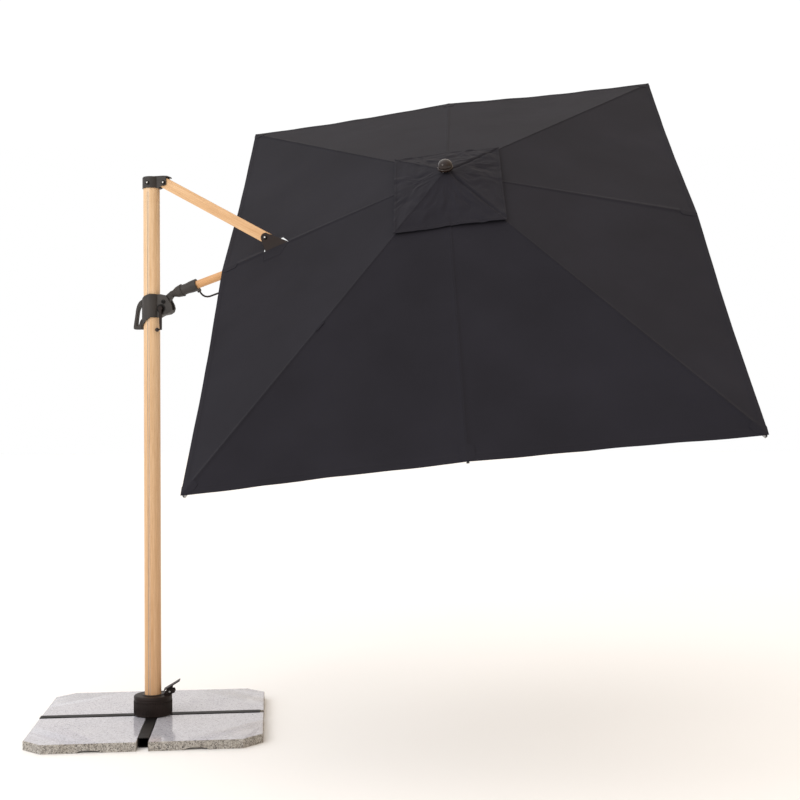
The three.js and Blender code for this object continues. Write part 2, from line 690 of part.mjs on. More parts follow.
// The cam lever that clamps the slider: a round boss, a flat bar and a stub for its knob.
function clampLever() {
  const back = leverFace;
  const front = back - LEVER_THICKNESS - 4;
  const boss = bar(11, [leverX, front, leverZ], [leverX, back, leverZ], 20);
  const blade = plate([
    [leverX - 7, leverZ],
    [leverFoot[0] - 4.5, leverFoot[1]],
    [leverFoot[0] + 4.5, leverFoot[1]],
    [leverX + 7, leverZ],
  ], front, front + LEVER_THICKNESS);
  const middle = front + LEVER_THICKNESS / 2;
  const [footX, footZ] = leverFoot;
  const stub = bar(3.5, [footX, middle, footZ + 3], [footX - 9, middle, footZ + 1]);
  return join(boss, blade, stub);
}

function leverKnob() {
  const ball = new THREE.SphereGeometry(LEVER_KNOB_RADIUS, 16, 10);
  const middle = leverFace - 4 - LEVER_THICKNESS / 2;
  ball.translate(leverFoot[0] - 9 - LEVER_KNOB_RADIUS - GAP, middle, leverFoot[1] + 1);
  return solid(ball);
}

piece(sliderFrame, "slider_housing", sliderHousing(), BLACK_PLASTIC);
piece(sliderFrame, "slider_handle", sliderHandle(), BLACK_PLASTIC);
piece(sliderFrame, "knuckle_pin", bolt(SLIDER_CHEEK_WIDTH, PIVOT_OFFSET, 0), STAINLESS);
piece(sliderFrame, "clamp_lever", clampLever(), BLACK_STEEL);
piece(sliderFrame, "lever_knob", leverKnob(), GLOSS_PLASTIC);
frame("lever_frame", sliderFrame, [leverX, 0, leverZ]);

// ---------------------------------------------------------------- arm

const ringStart = COLLAR_END + GAP;
const sleeveStart = ringStart + TILT_RING_LENGTH + GAP;
const sleeveEnd = sleeveStart + SLEEVE_LENGTH;
const hingeStation = ARM_LENGTH - CROWN_HINGE_SETBACK;
const armEnd = hingeStation - 24;
const onArm = ARM_RADIUS + GAP;
const lowerCollarStart = bracketStart - GAP - STOP_COLLAR_LENGTH;
const upperCollarStart = bracketEnd + GAP;

function armTube() {
  const inner = ARM_RADIUS - ARM_WALL;
  return cut(
    bar(ARM_RADIUS, [ringStart, 0, 0], [armEnd, 0, 0], TUBE_SIDES),
    bar(inner, [ringStart - 1, 0, 0], [armEnd + 1, 0, 0], TUBE_SIDES),
  );
}

// A ring or sleeve on the arm, from stations and outer radii.
function sleeveOnArm(profile) {
  const first = profile[0][0];
  const last = profile[profile.length - 1][0];
  return turnedAlongArm([[first, onArm], ...profile, [last, onArm], [first, onArm]]);
}

// The lug under a sleeve or collar that holds one end of the tilt rod.
function rodBoss(station) {
  const half = ROD_BOSS_WIDTH / 2;
  return block([station - half, station + half], [-half, half], [-ROD_BOSS_DROP, -onArm - 2]);
}

const rodFirst = sleeveEnd - ROD_BOSS_WIDTH / 2;
const rodLast = lowerCollarStart + STOP_COLLAR_LENGTH / 2;

function tiltSleeve() {
  const grip = sleeveOnArm([
    [sleeveStart, SLEEVE_WAIST_RADIUS + 2],
    [sleeveStart + 8, SLEEVE_WAIST_RADIUS],
    [sleeveStart + 24, SLEEVE_WAIST_RADIUS],
    [sleeveEnd - 30, SLEEVE_RADIUS - 1],
    [sleeveEnd, SLEEVE_RADIUS],
  ]);
  return join(grip, rodBoss(rodFirst));
}

// A collar clamped on the arm, chamfered at both ends.
function stopCollar(start) {
  const end = start + STOP_COLLAR_LENGTH;
  return sleeveOnArm([
    [start, STOP_COLLAR_RADIUS - 2],
    [start + 2, STOP_COLLAR_RADIUS],
    [end - 2, STOP_COLLAR_RADIUS],
    [end, STOP_COLLAR_RADIUS - 2],
  ]);
}

// The bent rod under the arm that a hand takes to tilt the canopy.
function tiltRod() {
  const top = -ROD_BOSS_DROP - GAP;
  const point = (station, height) => new THREE.Vector3(station, 0, height);
  const path = new THREE.CurvePath();
  const runStart = rodFirst + ROD_BEND;
  const runEnd = rodLast - ROD_BEND;
  const straight = (from, to) => path.add(new THREE.LineCurve3(from, to));
  const bend = (from, corner, to) => path.add(new THREE.QuadraticBezierCurve3(from, corner, to));
  straight(point(rodFirst, top), point(rodFirst, top - 6));
  bend(point(rodFirst, top - 6), point(rodFirst, -ROD_DROP), point(runStart, -ROD_DROP));
  straight(point(runStart, -ROD_DROP), point(runEnd, -ROD_DROP));
  bend(point(runEnd, -ROD_DROP), point(rodLast, -ROD_DROP), point(rodLast, top - 6));
  straight(point(rodLast, top - 6), point(rodLast, top));
  const section = new THREE.Shape();
  section.absarc(0, 0, ROD_RADIUS, 0, 2 * Math.PI);
  const options = { extrudePath: path, steps: 36, curveSegments: 4, bevelEnabled: false };
  return solid(new THREE.ExtrudeGeometry(section, options));
}

// The plug in the arm's end, flattened to a tongue for the crown's hinge.
function armTongue() {
  const plugRadius = ARM_RADIUS - ARM_WALL - GAP;
  const plug = bar(plugRadius, [armEnd - 60, 0, 0], [armEnd + 2, 0, 0], TUBE_SIDES);
  const half = TONGUE_THICKNESS / 2;
  const wide = Math.min(13, 0.78 * plugRadius);
  const flat = block([armEnd - 4, hingeStation], [-half, half], [-wide, wide]);
  const eye = crossBar(wide, TONGUE_THICKNESS, hingeStation, 0, 20);
  return cut(join(plug, flat, eye), boltHole(TONGUE_THICKNESS + 2, hingeStation, 0));
}

piece(armFrame, "arm_tube", armTube(), BEECH);
const tiltRing = sleeveOnArm([
  [ringStart, SLEEVE_RADIUS],
  [ringStart + TILT_RING_LENGTH, SLEEVE_RADIUS],
]);
piece(armFrame, "tilt_ring", tiltRing, BLACK_PLASTIC);
piece(armFrame, "tilt_sleeve", tiltSleeve(), BLACK_PLASTIC);
piece(armFrame, "tilt_rod", tiltRod(), BLACK_STEEL);
const lowerCollar = join(stopCollar(lowerCollarStart), rodBoss(rodLast));
piece(armFrame, "stop_collar_lower", lowerCollar, BLACK_PLASTIC);
piece(armFrame, "stop_collar_upper", stopCollar(upperCollarStart), BLACK_PLASTIC);
piece(armFrame, "arm_tongue", armTongue(), ALUMINIUM);

// ---------------------------------------------------------------- ribs and where they lie

const cornerX = CANOPY_ALONG / 2;
const cornerY = CANOPY_ACROSS / 2;
const rimFloor = APEX_RISE - CANOPY_HEIGHT;

// Points of the canopy's edge, in order about the crown, starting on the arm's far side.
const rim = [
  { x: cornerX + LONG_SIDE_BOW, y: 0, z: rimFloor + LONG_SIDE_LIFT, name: "mid_outer" },
  { x: cornerX, y: cornerY, z: rimFloor, name: "far_outer" },
  { x: 0, y: cornerY + SHORT_SIDE_BOW, z: rimFloor + SHORT_SIDE_LIFT, name: "mid_far" },
  { x: -cornerX, y: cornerY, z: rimFloor, name: "far_arm" },
  { x: -cornerX - LONG_SIDE_BOW, y: 0, z: rimFloor + LONG_SIDE_LIFT, name: "mid_arm" },
  { x: -cornerX, y: -cornerY, z: rimFloor, name: "near_arm" },
  { x: 0, y: -cornerY - SHORT_SIDE_BOW, z: rimFloor + SHORT_SIDE_LIFT, name: "mid_near" },
  { x: cornerX, y: -cornerY, z: rimFloor, name: "near_outer" },
];
const ribbed = rim.filter((place) => place.name !== "mid_arm"); // there the arm is the rib
const azimuthOf = (place) => Math.atan2(place.y, place.x);

// Where a stretcher meets its rib, as radius and height.
// Its foot hinges on the runner, straight under the rib's own pivot.
const kneeRadius = RIB_PIVOT_CIRCLE + STRETCHER_LENGTH * Math.cos(STRETCHER_DROP);
const kneeHeight = RIB_PIVOT_RISE - STRETCHER_LENGTH * Math.sin(STRETCHER_DROP);
const runnerHeight = RIB_PIVOT_RISE - 2 * STRETCHER_LENGTH * Math.sin(STRETCHER_DROP);

// One rib, in the upright plane through the crown's axis: X is the radius.
function rib(place) {
  const reach = Math.hypot(place.x, place.y);
  const slope = Math.atan2(APEX_RISE - place.z, reach);
  const sink = (FABRIC_THICKNESS + FABRIC_REST) / Math.cos(slope);
  const topAt = (radius) => APEX_RISE - sink - radius * Math.tan(slope);
  const depth = RIB_DEPTH / Math.cos(slope);
  const start = RIB_PIVOT_CIRCLE + RIB_START;
  const end = reach - RIB_TIP_SETBACK;
  const band = (from, to, inset) => [
    [from, topAt(from) - inset],
    [to, topAt(to) - inset],
    [to, topAt(to) - depth + inset],
    [from, topAt(from) - depth + inset],
  ];
  const half = RIB_WIDTH / 2;
  const room = half - RIB_WALL;
  const inside = plate(band(start + 6, end + 1, RIB_WALL), -room, room);
  const tube = cut(plate(band(start, end, 0), -half, half), inside);
  const tab = HINGE_TAB / 2;
  const root = plate([
    [RIB_PIVOT_CIRCLE - 4, RIB_PIVOT_RISE + HINGE_EYE_RADIUS - 2],
    [RIB_PIVOT_CIRCLE - 2, RIB_PIVOT_RISE - HINGE_EYE_RADIUS],
    [RIB_PIVOT_CIRCLE + 8, RIB_PIVOT_RISE - HINGE_EYE_RADIUS + 3],
    [start + 5, topAt(start + 5) - depth + 1],
    [start + 5, topAt(start + 5) - 1],
    [start - 8, topAt(start - 8) - 2],
  ], -tab, tab);
  const rootEye = crossBar(HINGE_EYE_RADIUS, HINGE_TAB, RIB_PIVOT_CIRCLE, RIB_PIVOT_RISE);
  const ear = plate([
    [kneeRadius - HINGE_EYE_RADIUS, kneeHeight],
    [kneeRadius + HINGE_EYE_RADIUS, kneeHeight],
    [kneeRadius + 20, topAt(kneeRadius + 20) - depth + 1],
    [kneeRadius - 20, topAt(kneeRadius - 20) - depth + 1],
  ], -tab, tab);
  const earEye = crossBar(HINGE_EYE_RADIUS, HINGE_TAB, kneeRadius, kneeHeight);
  const hole = HINGE_PIN_RADIUS + 2 * GAP;
  return cut(
    join(tube, root, rootEye, ear, earEye),
    crossBar(hole, HINGE_TAB + 2, RIB_PIVOT_CIRCLE, RIB_PIVOT_RISE),
    crossBar(hole, HINGE_TAB + 2, kneeRadius, kneeHeight),
  );
}

// One stretcher: forked over its rib's ear, with a tab that turns in the runner.
function stretcher() {
  const run = kneeRadius - RIB_PIVOT_CIRCLE;
  const fall = kneeHeight - runnerHeight;
  const side = (radius, offset) => {
    const share = (radius - RIB_PIVOT_CIRCLE) / run;
    return [radius, runnerHeight + share * fall + offset];
  };
  const half = STRETCHER_DEPTH / 2 / Math.cos(STRETCHER_DROP);
  const band = (from, to) => [side(from, half), side(to, half), side(to, -half), side(from, -half)];
  const wide = RIB_WIDTH / 2;
  const barStart = RIB_PIVOT_CIRCLE + 24;
  const body = plate(band(barStart, kneeRadius), -wide, wide);
  const forkEye = crossBar(STRETCHER_DEPTH / 2, RIB_WIDTH, kneeRadius, kneeHeight);
  const room = HINGE_TAB / 2 + GAP;
  const slot = block(
    [kneeRadius - HINGE_EYE_RADIUS - 14, kneeRadius + 10],
    [-room, room],
    [kneeHeight - 60, kneeHeight + 60],
  );
  const pin = crossBar(HINGE_PIN_RADIUS, RIB_WIDTH, kneeRadius, kneeHeight);
  const tab = plate(band(RIB_PIVOT_CIRCLE, barStart + 4), -HINGE_TAB / 2, HINGE_TAB / 2);
  const tabEye = crossBar(STRETCHER_DEPTH / 2, HINGE_TAB, RIB_PIVOT_CIRCLE, runnerHeight);
  const hole = crossBar(HINGE_PIN_RADIUS + 2 * GAP, HINGE_TAB + 2, RIB_PIVOT_CIRCLE, runnerHeight);
  return cut(join(cut(join(body, forkEye), slot), pin, tab, tabEye), hole);
}

for (const place of ribbed) {
  const ribMesh = piece(crownFrame, "rib_" + place.name, rib(place), ALUMINIUM);
  const stretcherMesh = piece(crownFrame, "stretcher_" + place.name, stretcher(), ALUMINIUM);
  ribMesh.rotation.z = azimuthOf(place);
  stretcherMesh.rotation.z = azimuthOf(place);
}

// ---------------------------------------------------------------- crown, stub pole and runner

// A disc slotted for the tabs that hinge in it, with a pin across each slot.
function slottedDisc(radius, middle, thickness) {
  const low = middle - thickness / 2;
  const high = middle + thickness / 2;
  const disc = turned([
    [0, low],
    [radius - 3, low],
    [radius, low + 3],
    [radius, high - 3],
    [radius - 3, high],
    [0, high],
  ]);
  const room = HINGE_TAB / 2 + GAP;
  const slotIn = RIB_PIVOT_CIRCLE - HINGE_EYE_RADIUS - 2;
  const upright = new THREE.Vector3(0, 0, 1);
  const slots = ribbed.map((place) => {
    const slot = new THREE.BoxGeometry(radius - slotIn + 5, 2 * room, thickness + 2);
    slot.translate((radius + slotIn + 5) / 2, 0, middle);
    slot.rotateZ(azimuthOf(place));
    return solid(slot);
  });
  const pins = ribbed.map((place) => {
    const centre = new THREE.Vector3(RIB_PIVOT_CIRCLE, 0, middle);
    const half = new THREE.Vector3(0, room + 2, 0);
    centre.applyAxisAngle(upright, azimuthOf(place));
    half.applyAxisAngle(upright, azimuthOf(place));
    const from = centre.clone().sub(half);
    return bar(HINGE_PIN_RADIUS, from.toArray(), centre.add(half).toArray());
  });
  return join(cut(disc, ...slots), ...pins);
}

const hingeX = -CROWN_HINGE_SETBACK * Math.cos(CANOPY_SET);
const hingeZ = -CROWN_HINGE_SETBACK * Math.sin(CANOPY_SET);
const crownBottom = RIB_PIVOT_RISE - CROWN_THICKNESS / 2;
const stubTop = crownBottom + 16;
const runnerLowest = RIB_PIVOT_RISE - 2 * STRETCHER_LENGTH;
const stubBottom = runnerLowest - RUNNER_THICKNESS / 2 - STUB_BELOW_RUNNER;
const postTop = APEX_RISE + FINIAL_RISE - GAP;

// The crown: slotted disc, post for the finial and a fork that hinges on the arm's tongue.
function crownHub() {
  const disc = slottedDisc(CROWN_RADIUS, RIB_PIVOT_RISE, CROWN_THICKNESS);
  const post = bar(POST_RADIUS, [0, 0, RIB_PIVOT_RISE], [0, 0, postTop], TUBE_SIDES);
  const inner = TONGUE_THICKNESS / 2 + PLAY;
  const outer = inner + CROWN_EAR_WALL;
  const cheek = [
    [hingeX - 10, crownBottom + 4],
    [hingeX + 26, crownBottom + 4],
    [hingeX + CROWN_EAR_RADIUS - 2, hingeZ],
    [hingeX - CROWN_EAR_RADIUS + 2, hingeZ],
  ];
  const ears = [[-outer, -inner], [inner, outer]].map(([from, to]) => join(
    plate(cheek, from, to),
    bar(CROWN_EAR_RADIUS, [hingeX, from, hingeZ], [hingeX, to, hingeZ], 20),
  ));
  const socket = bar(STUB_RADIUS + GAP, [0, 0, crownBottom - 1], [0, 0, stubTop + GAP], TUBE_SIDES);
  return cut(join(disc, post, ...ears), socket, boltHole(2 * outer + 2, hingeX, hingeZ));
}

function stubTube() {
  const inner = STUB_RADIUS - STUB_WALL;
  return cut(
    bar(STUB_RADIUS, [0, 0, stubBottom], [0, 0, stubTop], TUBE_SIDES),
    bar(inner, [0, 0, stubBottom - 1], [0, 0, stubTop + 1], TUBE_SIDES),
  );
}

function runner() {
  const bore = bar(STUB_RADIUS + PLAY, [0, 0, runnerHeight - 40], [0, 0, runnerHeight + 40], TUBE_SIDES);
  return cut(slottedDisc(CROWN_RADIUS, runnerHeight, RUNNER_THICKNESS), bore);
}

// The domed knob that clamps the vent cap down on the post.
function finialKnob() {
  const base = APEX_RISE + FINIAL_RISE;
  const profile = [[0, base], [FINIAL_RADIUS - 8, base], [FINIAL_RADIUS - 1, base + 4]];
  const domeStart = base + 9;
  const steps = 6;
  for (let step = 0; step <= steps; step++) {
    const angle = (step / steps) * (Math.PI / 2);
    const height = domeStart + (FINIAL_HEIGHT - 9) * Math.sin(angle);
    profile.push([step === steps ? 0 : FINIAL_RADIUS * Math.cos(angle), height]);
  }
  return turned(profile, TUBE_SIDES);
}

piece(crownFrame, "crown_hub", crownHub(), BLACK_PLASTIC);
piece(crownFrame, "stub_tube", stubTube(), ALUMINIUM);
piece(crownFrame, "runner", runner(), BLACK_PLASTIC);
const hingeWidth = TONGUE_THICKNESS + 2 * (PLAY + CROWN_EAR_WALL);
piece(crownFrame, "crown_pin", bolt(hingeWidth, hingeX, hingeZ), STAINLESS);
piece(crownFrame, "finial_knob", finialKnob(), GLOSS_PLASTIC);
frame("crown_hinge_frame", crownFrame, [hingeX, 0, hingeZ]);
for (const place of ribbed) {
  const turn = { z: azimuthOf(place) };
  const plane = frame("plane_" + place.name, crownFrame, [0, 0, 0], turn);
  frame("pivot_" + place.name, plane, [RIB_PIVOT_CIRCLE, 0, RIB_PIVOT_RISE]);
  frame("joint_" + place.name, plane, [kneeRadius, 0, kneeHeight]);
  frame("runner_" + place.name, plane, [RIB_PIVOT_CIRCLE, 0, runnerHeight]);
}

// ---------------------------------------------------------------- canopy

// A roof over the edge points: closed below by a floor far under it.
function roof(edge, peak, floor) {
  const triangles = [];
  const lift = ({ x, y, z }) => [x, y, z];
  const drop = ({ x, y }) => [x, y, floor];
  edge.forEach((here, index) => {
    const next = edge[(index + 1) % edge.length];
    triangles.push([0, 0, peak], lift(here), lift(next));
    triangles.push([0, 0, floor], drop(next), drop(here));
    triangles.push(drop(here), drop(next), lift(next));
    triangles.push(drop(here), lift(next), lift(here));
  });
  const geometry = new THREE.BufferGeometry();
  geometry.setAttribute("position", new THREE.Float32BufferAttribute(triangles.flat(), 3));
  return solid(geometry);
}

// The roof's skin: what is left after the same roof, one thickness lower, is taken away.
function skin(edge, peak, thickness) {
  const floor = rimFloor - 100;
  const stretch = 1.01;
  const wider = ({ x, y, z }) => ({
    x: x * stretch,
    y: y * stretch,
    z: peak - (peak - z) * stretch - thickness,
  });
  return cut(roof(edge, peak, floor), roof(edge.map(wider), peak - thickness, floor - 1));
}

const canopySkin = skin(rim, APEX_RISE, FABRIC_THICKNESS);
const postHole = bar(POST_RADIUS + 2, [0, 0, 0], [0, 0, 200], TUBE_SIDES);
const slit = block([-SLIT_END, -SLIT_START], [-SLIT_HALF_WIDTH, SLIT_HALF_WIDTH], [rimFloor - 50, 200]);

// One gore of the canopy: all that hangs nearer to this rib than to the ribs beside it.
function canopyGore(index) {
  const here = rim[index];
  const before = rim[(index + rim.length - 1) % rim.length];
  const after = rim[(index + 1) % rim.length];
  const between = (place) => new THREE.Vector2(here.x + place.x, here.y + place.y).multiplyScalar(0.5);
  const low = between(before);
  const high = between(after);
  const corner = new THREE.Vector2(here.x, here.y);
  const narrow = (point, side) => {
    const across = new THREE.Vector2(-point.y, point.x).normalize();
    return across.multiplyScalar((side * FABRIC_SEAM_GAP) / 2);
  };
  const reach = 1.5; // the cutting outline runs well past the canopy's edge
  const lowSide = narrow(low, 1);
  const highSide = narrow(high, -1);
  const outline = [
    corner.clone().normalize().multiplyScalar(FABRIC_SEAM_GAP),
    low.clone().multiplyScalar(reach).add(lowSide),
    corner.clone().multiplyScalar(reach),
    high.clone().multiplyScalar(reach).add(highSide),
  ].map((point) => point.toArray());
  const gore = slab(outline, rimFloor - 50, APEX_RISE + 50);
  return cut(canopySkin.intersect(gore), postHole, slit);
}

// The small cap over the opening at the peak.
function ventCap() {
  const edge = rim.map((place) => {
    const corner = place.x !== 0 && place.y !== 0;
    const x = Math.sign(place.x) * (VENT_ALONG / 2 - (corner ? 0 : 3));
    const y = Math.sign(place.y) * (VENT_ACROSS / 2 - (corner ? 0 : 4));
    const share = Math.hypot(x, y) / Math.hypot(place.x, place.y);
    return { x, y, z: APEX_RISE + VENT_RISE - share * (APEX_RISE - place.z) };
  });
  return cut(skin(edge, APEX_RISE + VENT_RISE, FABRIC_THICKNESS), postHole);
}

rim.forEach((place, index) => {
  piece(crownFrame, "canopy_" + place.name, canopyGore(index), POLYESTER);
});
piece(crownFrame, "vent_cap", ventCap(), POLYESTER);

export default parasol;
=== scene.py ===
# A cantilever parasol: a cross base with four granite slabs, a turning mast, a strut and an arm that
# carry a tilting cloth canopy. Metres, +Z up, the origin on the ground under the mast.
import json
import math

import bmesh
import bpy
from mathutils import Matrix, Vector, noise

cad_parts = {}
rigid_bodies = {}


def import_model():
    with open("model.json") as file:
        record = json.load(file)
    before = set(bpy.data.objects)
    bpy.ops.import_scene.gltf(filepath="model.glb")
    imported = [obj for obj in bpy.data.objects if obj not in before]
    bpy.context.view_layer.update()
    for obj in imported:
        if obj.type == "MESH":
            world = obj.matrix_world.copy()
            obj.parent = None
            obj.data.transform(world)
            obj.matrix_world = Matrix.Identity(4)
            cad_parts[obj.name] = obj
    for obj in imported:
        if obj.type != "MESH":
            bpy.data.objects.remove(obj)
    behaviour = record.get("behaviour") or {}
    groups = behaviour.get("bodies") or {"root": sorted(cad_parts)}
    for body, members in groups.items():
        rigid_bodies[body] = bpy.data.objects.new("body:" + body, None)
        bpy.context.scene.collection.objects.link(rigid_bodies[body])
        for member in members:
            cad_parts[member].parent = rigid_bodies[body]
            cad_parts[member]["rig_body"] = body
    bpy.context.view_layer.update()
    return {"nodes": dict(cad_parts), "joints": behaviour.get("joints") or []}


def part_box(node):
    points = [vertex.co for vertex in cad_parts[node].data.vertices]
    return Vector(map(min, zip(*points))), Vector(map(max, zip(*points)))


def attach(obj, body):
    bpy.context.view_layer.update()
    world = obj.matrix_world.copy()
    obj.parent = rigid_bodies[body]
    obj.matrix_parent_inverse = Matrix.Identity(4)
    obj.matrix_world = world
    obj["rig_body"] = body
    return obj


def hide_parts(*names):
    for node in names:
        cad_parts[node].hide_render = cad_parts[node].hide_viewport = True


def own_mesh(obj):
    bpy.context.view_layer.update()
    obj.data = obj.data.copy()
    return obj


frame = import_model()
scene = bpy.context.scene

# ------------------------------------------------------------------ camera
# Someone standing in front of the mast at shoulder height, turned a little to the right.
VIEWPOINT = Vector((0.571, -6.176, 1.457))
VIEW_TURN, VIEW_PITCH, VIEW_ROLL = -5.73, 0.73, 0.24

camera = bpy.data.objects.new("camera", bpy.data.cameras.new("camera"))
camera.data.lens = 57.29
camera.data.clip_end = 200
standing = Matrix.Rotation(math.radians(VIEW_ROLL), 4, "Y")
standing @= Matrix.Rotation(math.radians(VIEW_PITCH), 4, "X")
standing @= Matrix.Rotation(math.radians(VIEW_TURN), 4, "Z")
camera.matrix_world = Matrix.Translation(VIEWPOINT) @ standing @ Matrix.Rotation(math.pi / 2, 4, "X")
scene.collection.objects.link(camera)
scene.camera = camera

# ------------------------------------------------------------------ studio
# A pale seamless floor, an even white surround and one large soft lamp.
scene.view_settings.view_transform = "Standard"


def linear(hex_colour):
    """An sRGB colour such as '#c0ffee' as the linear colour that sockets take."""
    values = [int(hex_colour[start : start + 2], 16) / 255 for start in (1, 3, 5)]
    return (*[v / 12.92 if v <= 0.04045 else ((v + 0.055) / 1.055) ** 2.4 for v in values], 1.0)


def add_node(tree, kind, inputs=(), **settings):
    """A new node with its settings, and its inputs set to values or linked to sockets."""
    made = tree.nodes.new(kind)
    for setting, value in settings.items():
        setattr(made, setting, value)
    for socket, value in dict(inputs).items():
        if isinstance(value, bpy.types.NodeSocket):
            tree.links.new(value, made.inputs[socket])
        else:
            made.inputs[socket].default_value = value
    return made


def new_material(name, **values):
    """A material with its node tree and its shader, whose sockets take the values given."""
    material = bpy.data.materials.new(name)
    material.use_nodes = True
    shader = material.node_tree.nodes["Principled BSDF"]
    for socket, value in values.items():
        shader.inputs[socket.replace("_", " ")].default_value = value
    return material, material.node_tree, shader


def lamp(name, place, target, size, power, colour):
    light = bpy.data.lights.new(name, "AREA")
    light.size = size
    light.energy = power
    light.color = linear(colour)[:3]
    holder = bpy.data.objects.new(name, light)
    aim = (Vector(place) - Vector(target)).to_track_quat("Z", "Y")
    holder.matrix_world = Matrix.Translation(place) @ aim.to_matrix().to_4x4()
    scene.collection.objects.link(holder)


lamp("key_lamp", (-5.0, -5.5, 5.0), (0.6, 0.0, 1.6), 3.0, 150, "#fff8f0")

# The surround is white to the eye; its light is a little warmer and dimmer from the right, as off a
# wooden wall, and stronger from above.
surround = bpy.data.worlds.new("surround")
surround.use_nodes = True
tree = surround.node_tree
seen = add_node(tree, "ShaderNodeLightPath").outputs["Is Camera Ray"]
toward = add_node(tree, "ShaderNodeTexCoord").outputs["Generated"]
toward = add_node(tree, "ShaderNodeSeparateXYZ", {"Vector": toward})
sideways = {"Value": toward.outputs["X"], "From Min": -0.5, "From Max": 0.9}
rightness = add_node(tree, "ShaderNodeMapRange", sideways).outputs["Result"]
wall = {"Fac": rightness, "Color1": linear("#fefeff"), "Color2": linear("#e7d4be")}
wall = add_node(tree, "ShaderNodeMixRGB", wall).outputs["Color"]
shown = {"Fac": seen, "Color1": wall, "Color2": linear("#ffffff")}
shown = add_node(tree, "ShaderNodeMixRGB", shown).outputs["Color"]
tree.links.new(shown, tree.nodes["Background"].inputs["Color"])
upward = {"Value": toward.outputs["Z"], "From Min": 0.2, "To Min": 1.0, "To Max": 1.5}
overhead = add_node(tree, "ShaderNodeMapRange", upward).outputs["Result"]
tree.links.new(overhead, tree.nodes["Background"].inputs["Strength"])
scene.world = surround

# Matt studio vinyl: a very pale sheet, slightly uneven so that it isn't one flat colour.
vinyl, tree, shader = new_material("studio_vinyl", Roughness=0.9, Specular_IOR_Level=0.1)
spot = add_node(tree, "ShaderNodeTexCoord").outputs["Object"]
cloud = add_node(tree, "ShaderNodeTexNoise", {"Vector": spot, "Scale": 0.6})
ramp = add_node(tree, "ShaderNodeValToRGB", {"Fac": cloud.outputs["Fac"]})
ramp.color_ramp.elements[0].color = linear("#fafaf9")
ramp.color_ramp.elements[1].color = linear("#fdfdfd")
tree.links.new(ramp.outputs["Color"], shader.inputs["Base Color"])

FLOOR_RADIUS = 45.0
disc = bmesh.new()
bmesh.ops.create_circle(disc, cap_ends=True, radius=FLOOR_RADIUS, segments=96)
bmesh.ops.translate(disc, vec=(0, 0, -0.0005), verts=disc.verts)
floor_mesh = bpy.data.meshes.new("studio_floor")
disc.to_mesh(floor_mesh)
disc.free()
floor_mesh.materials.append(vinyl)
studio_floor = bpy.data.objects.new("studio_floor", floor_mesh)
scene.collection.objects.link(studio_floor)

# ------------------------------------------------------------------ stone slabs
# Four granite slabs, sawn and polished on top, with the outer edges split by hand so that they stay
# rough, a cut corner, and a shallow finger notch under each outer edge.
CORNER_CUT = 0.088
NOTCH_HALF, NOTCH_RISE, NOTCH_DEPTH = 0.054, 0.0105, 0.03
EDGE_STEP = 0.007


def object_coordinates(tree, turn=None, centre=None):
    """Object coordinates, or, with a turn and a centre, those measured along a piece's own axes."""
    spot = add_node(tree, "ShaderNodeTexCoord").outputs["Object"]
    if turn is None:
        return spot
    moved = add_node(tree, "ShaderNodeMapping", {"Vector": spot, "Location": -Vector(centre)})
    return add_node(
        tree, "ShaderNodeMapping", {"Vector": moved.outputs["Vector"], "Rotation": turn.to_euler()}
    ).outputs["Vector"]


def colour_ramp(tree, value, stops, interpolation="LINEAR"):
    """A colour from a value, with (place, hex colour) stops."""
    ramp = add_node(tree, "ShaderNodeValToRGB", {"Fac": value})
    ramp.color_ramp.interpolation = interpolation
    elements = ramp.color_ramp.elements
    while len(elements) < len(stops):
        elements.new(1.0)
    for element, (place, hex_colour) in zip(elements, stops):
        element.position = place
        element.color = linear(hex_colour)
    return ramp.outputs["Color"]


def roughened(tree, shader, value, low, high):
    """The shader's roughness, varying from low to high with a value."""
    spread = {"Value": value, "To Min": low, "To Max": high}
    mapped = add_node(tree, "ShaderNodeMapRange", spread)
    tree.links.new(mapped.outputs["Result"], shader.inputs["Roughness"])


def bumped(tree, shader, height, distance, strength=1.0):
    """The shader's normal, raised by a height of up to that distance in metres."""
    raised = {"Height": height, "Distance": distance, "Strength": strength}
    bump = add_node(tree, "ShaderNodeBump", raised)
    tree.links.new(bump.outputs["Normal"], shader.inputs["Normal"])


def granite(name, crystals, dusty, relief, roughness):
    """Granite: feldspar, quartz and mica crystals of about 5 mm, as a mottled pale grey."""
    material, tree, shader = new_material(name, IOR=1.54)
    spot = object_coordinates(tree)
    wander = add_node(tree, "ShaderNodeTexNoise", {"Vector": spot, "Scale": 160.0, "Detail": 2.0})
    bent = add_node(
        tree,
        "ShaderNodeMixRGB",
        {"Fac": 0.012, "Color1": spot, "Color2": wander.outputs["Color"]},
        blend_type="ADD",
    )
    cells = add_node(tree, "ShaderNodeTexVoronoi", {"Vector": bent.outputs["Color"], "Scale": 230.0})
    pick = add_node(tree, "ShaderNodeSeparateColor", {"Color": cells.outputs["Color"]})
    stone = colour_ramp(tree, pick.outputs["Red"], crystals, "CONSTANT")
    drift = add_node(tree, "ShaderNodeTexNoise", {"Vector": spot, "Scale": 9.0, "Detail": 4.0})
    tone = colour_ramp(tree, drift.outputs["Fac"], dusty)
    tinted = {"Fac": 0.55, "Color1": stone, "Color2": tone}
    mixed = add_node(tree, "ShaderNodeMixRGB", tinted, blend_type="MULTIPLY")
    tree.links.new(mixed.outputs["Color"], shader.inputs["Base Color"])
    roughened(tree, shader, pick.outputs["Green"], *roughness)
    bumped(tree, shader, cells.outputs["Distance"], relief)
    return material


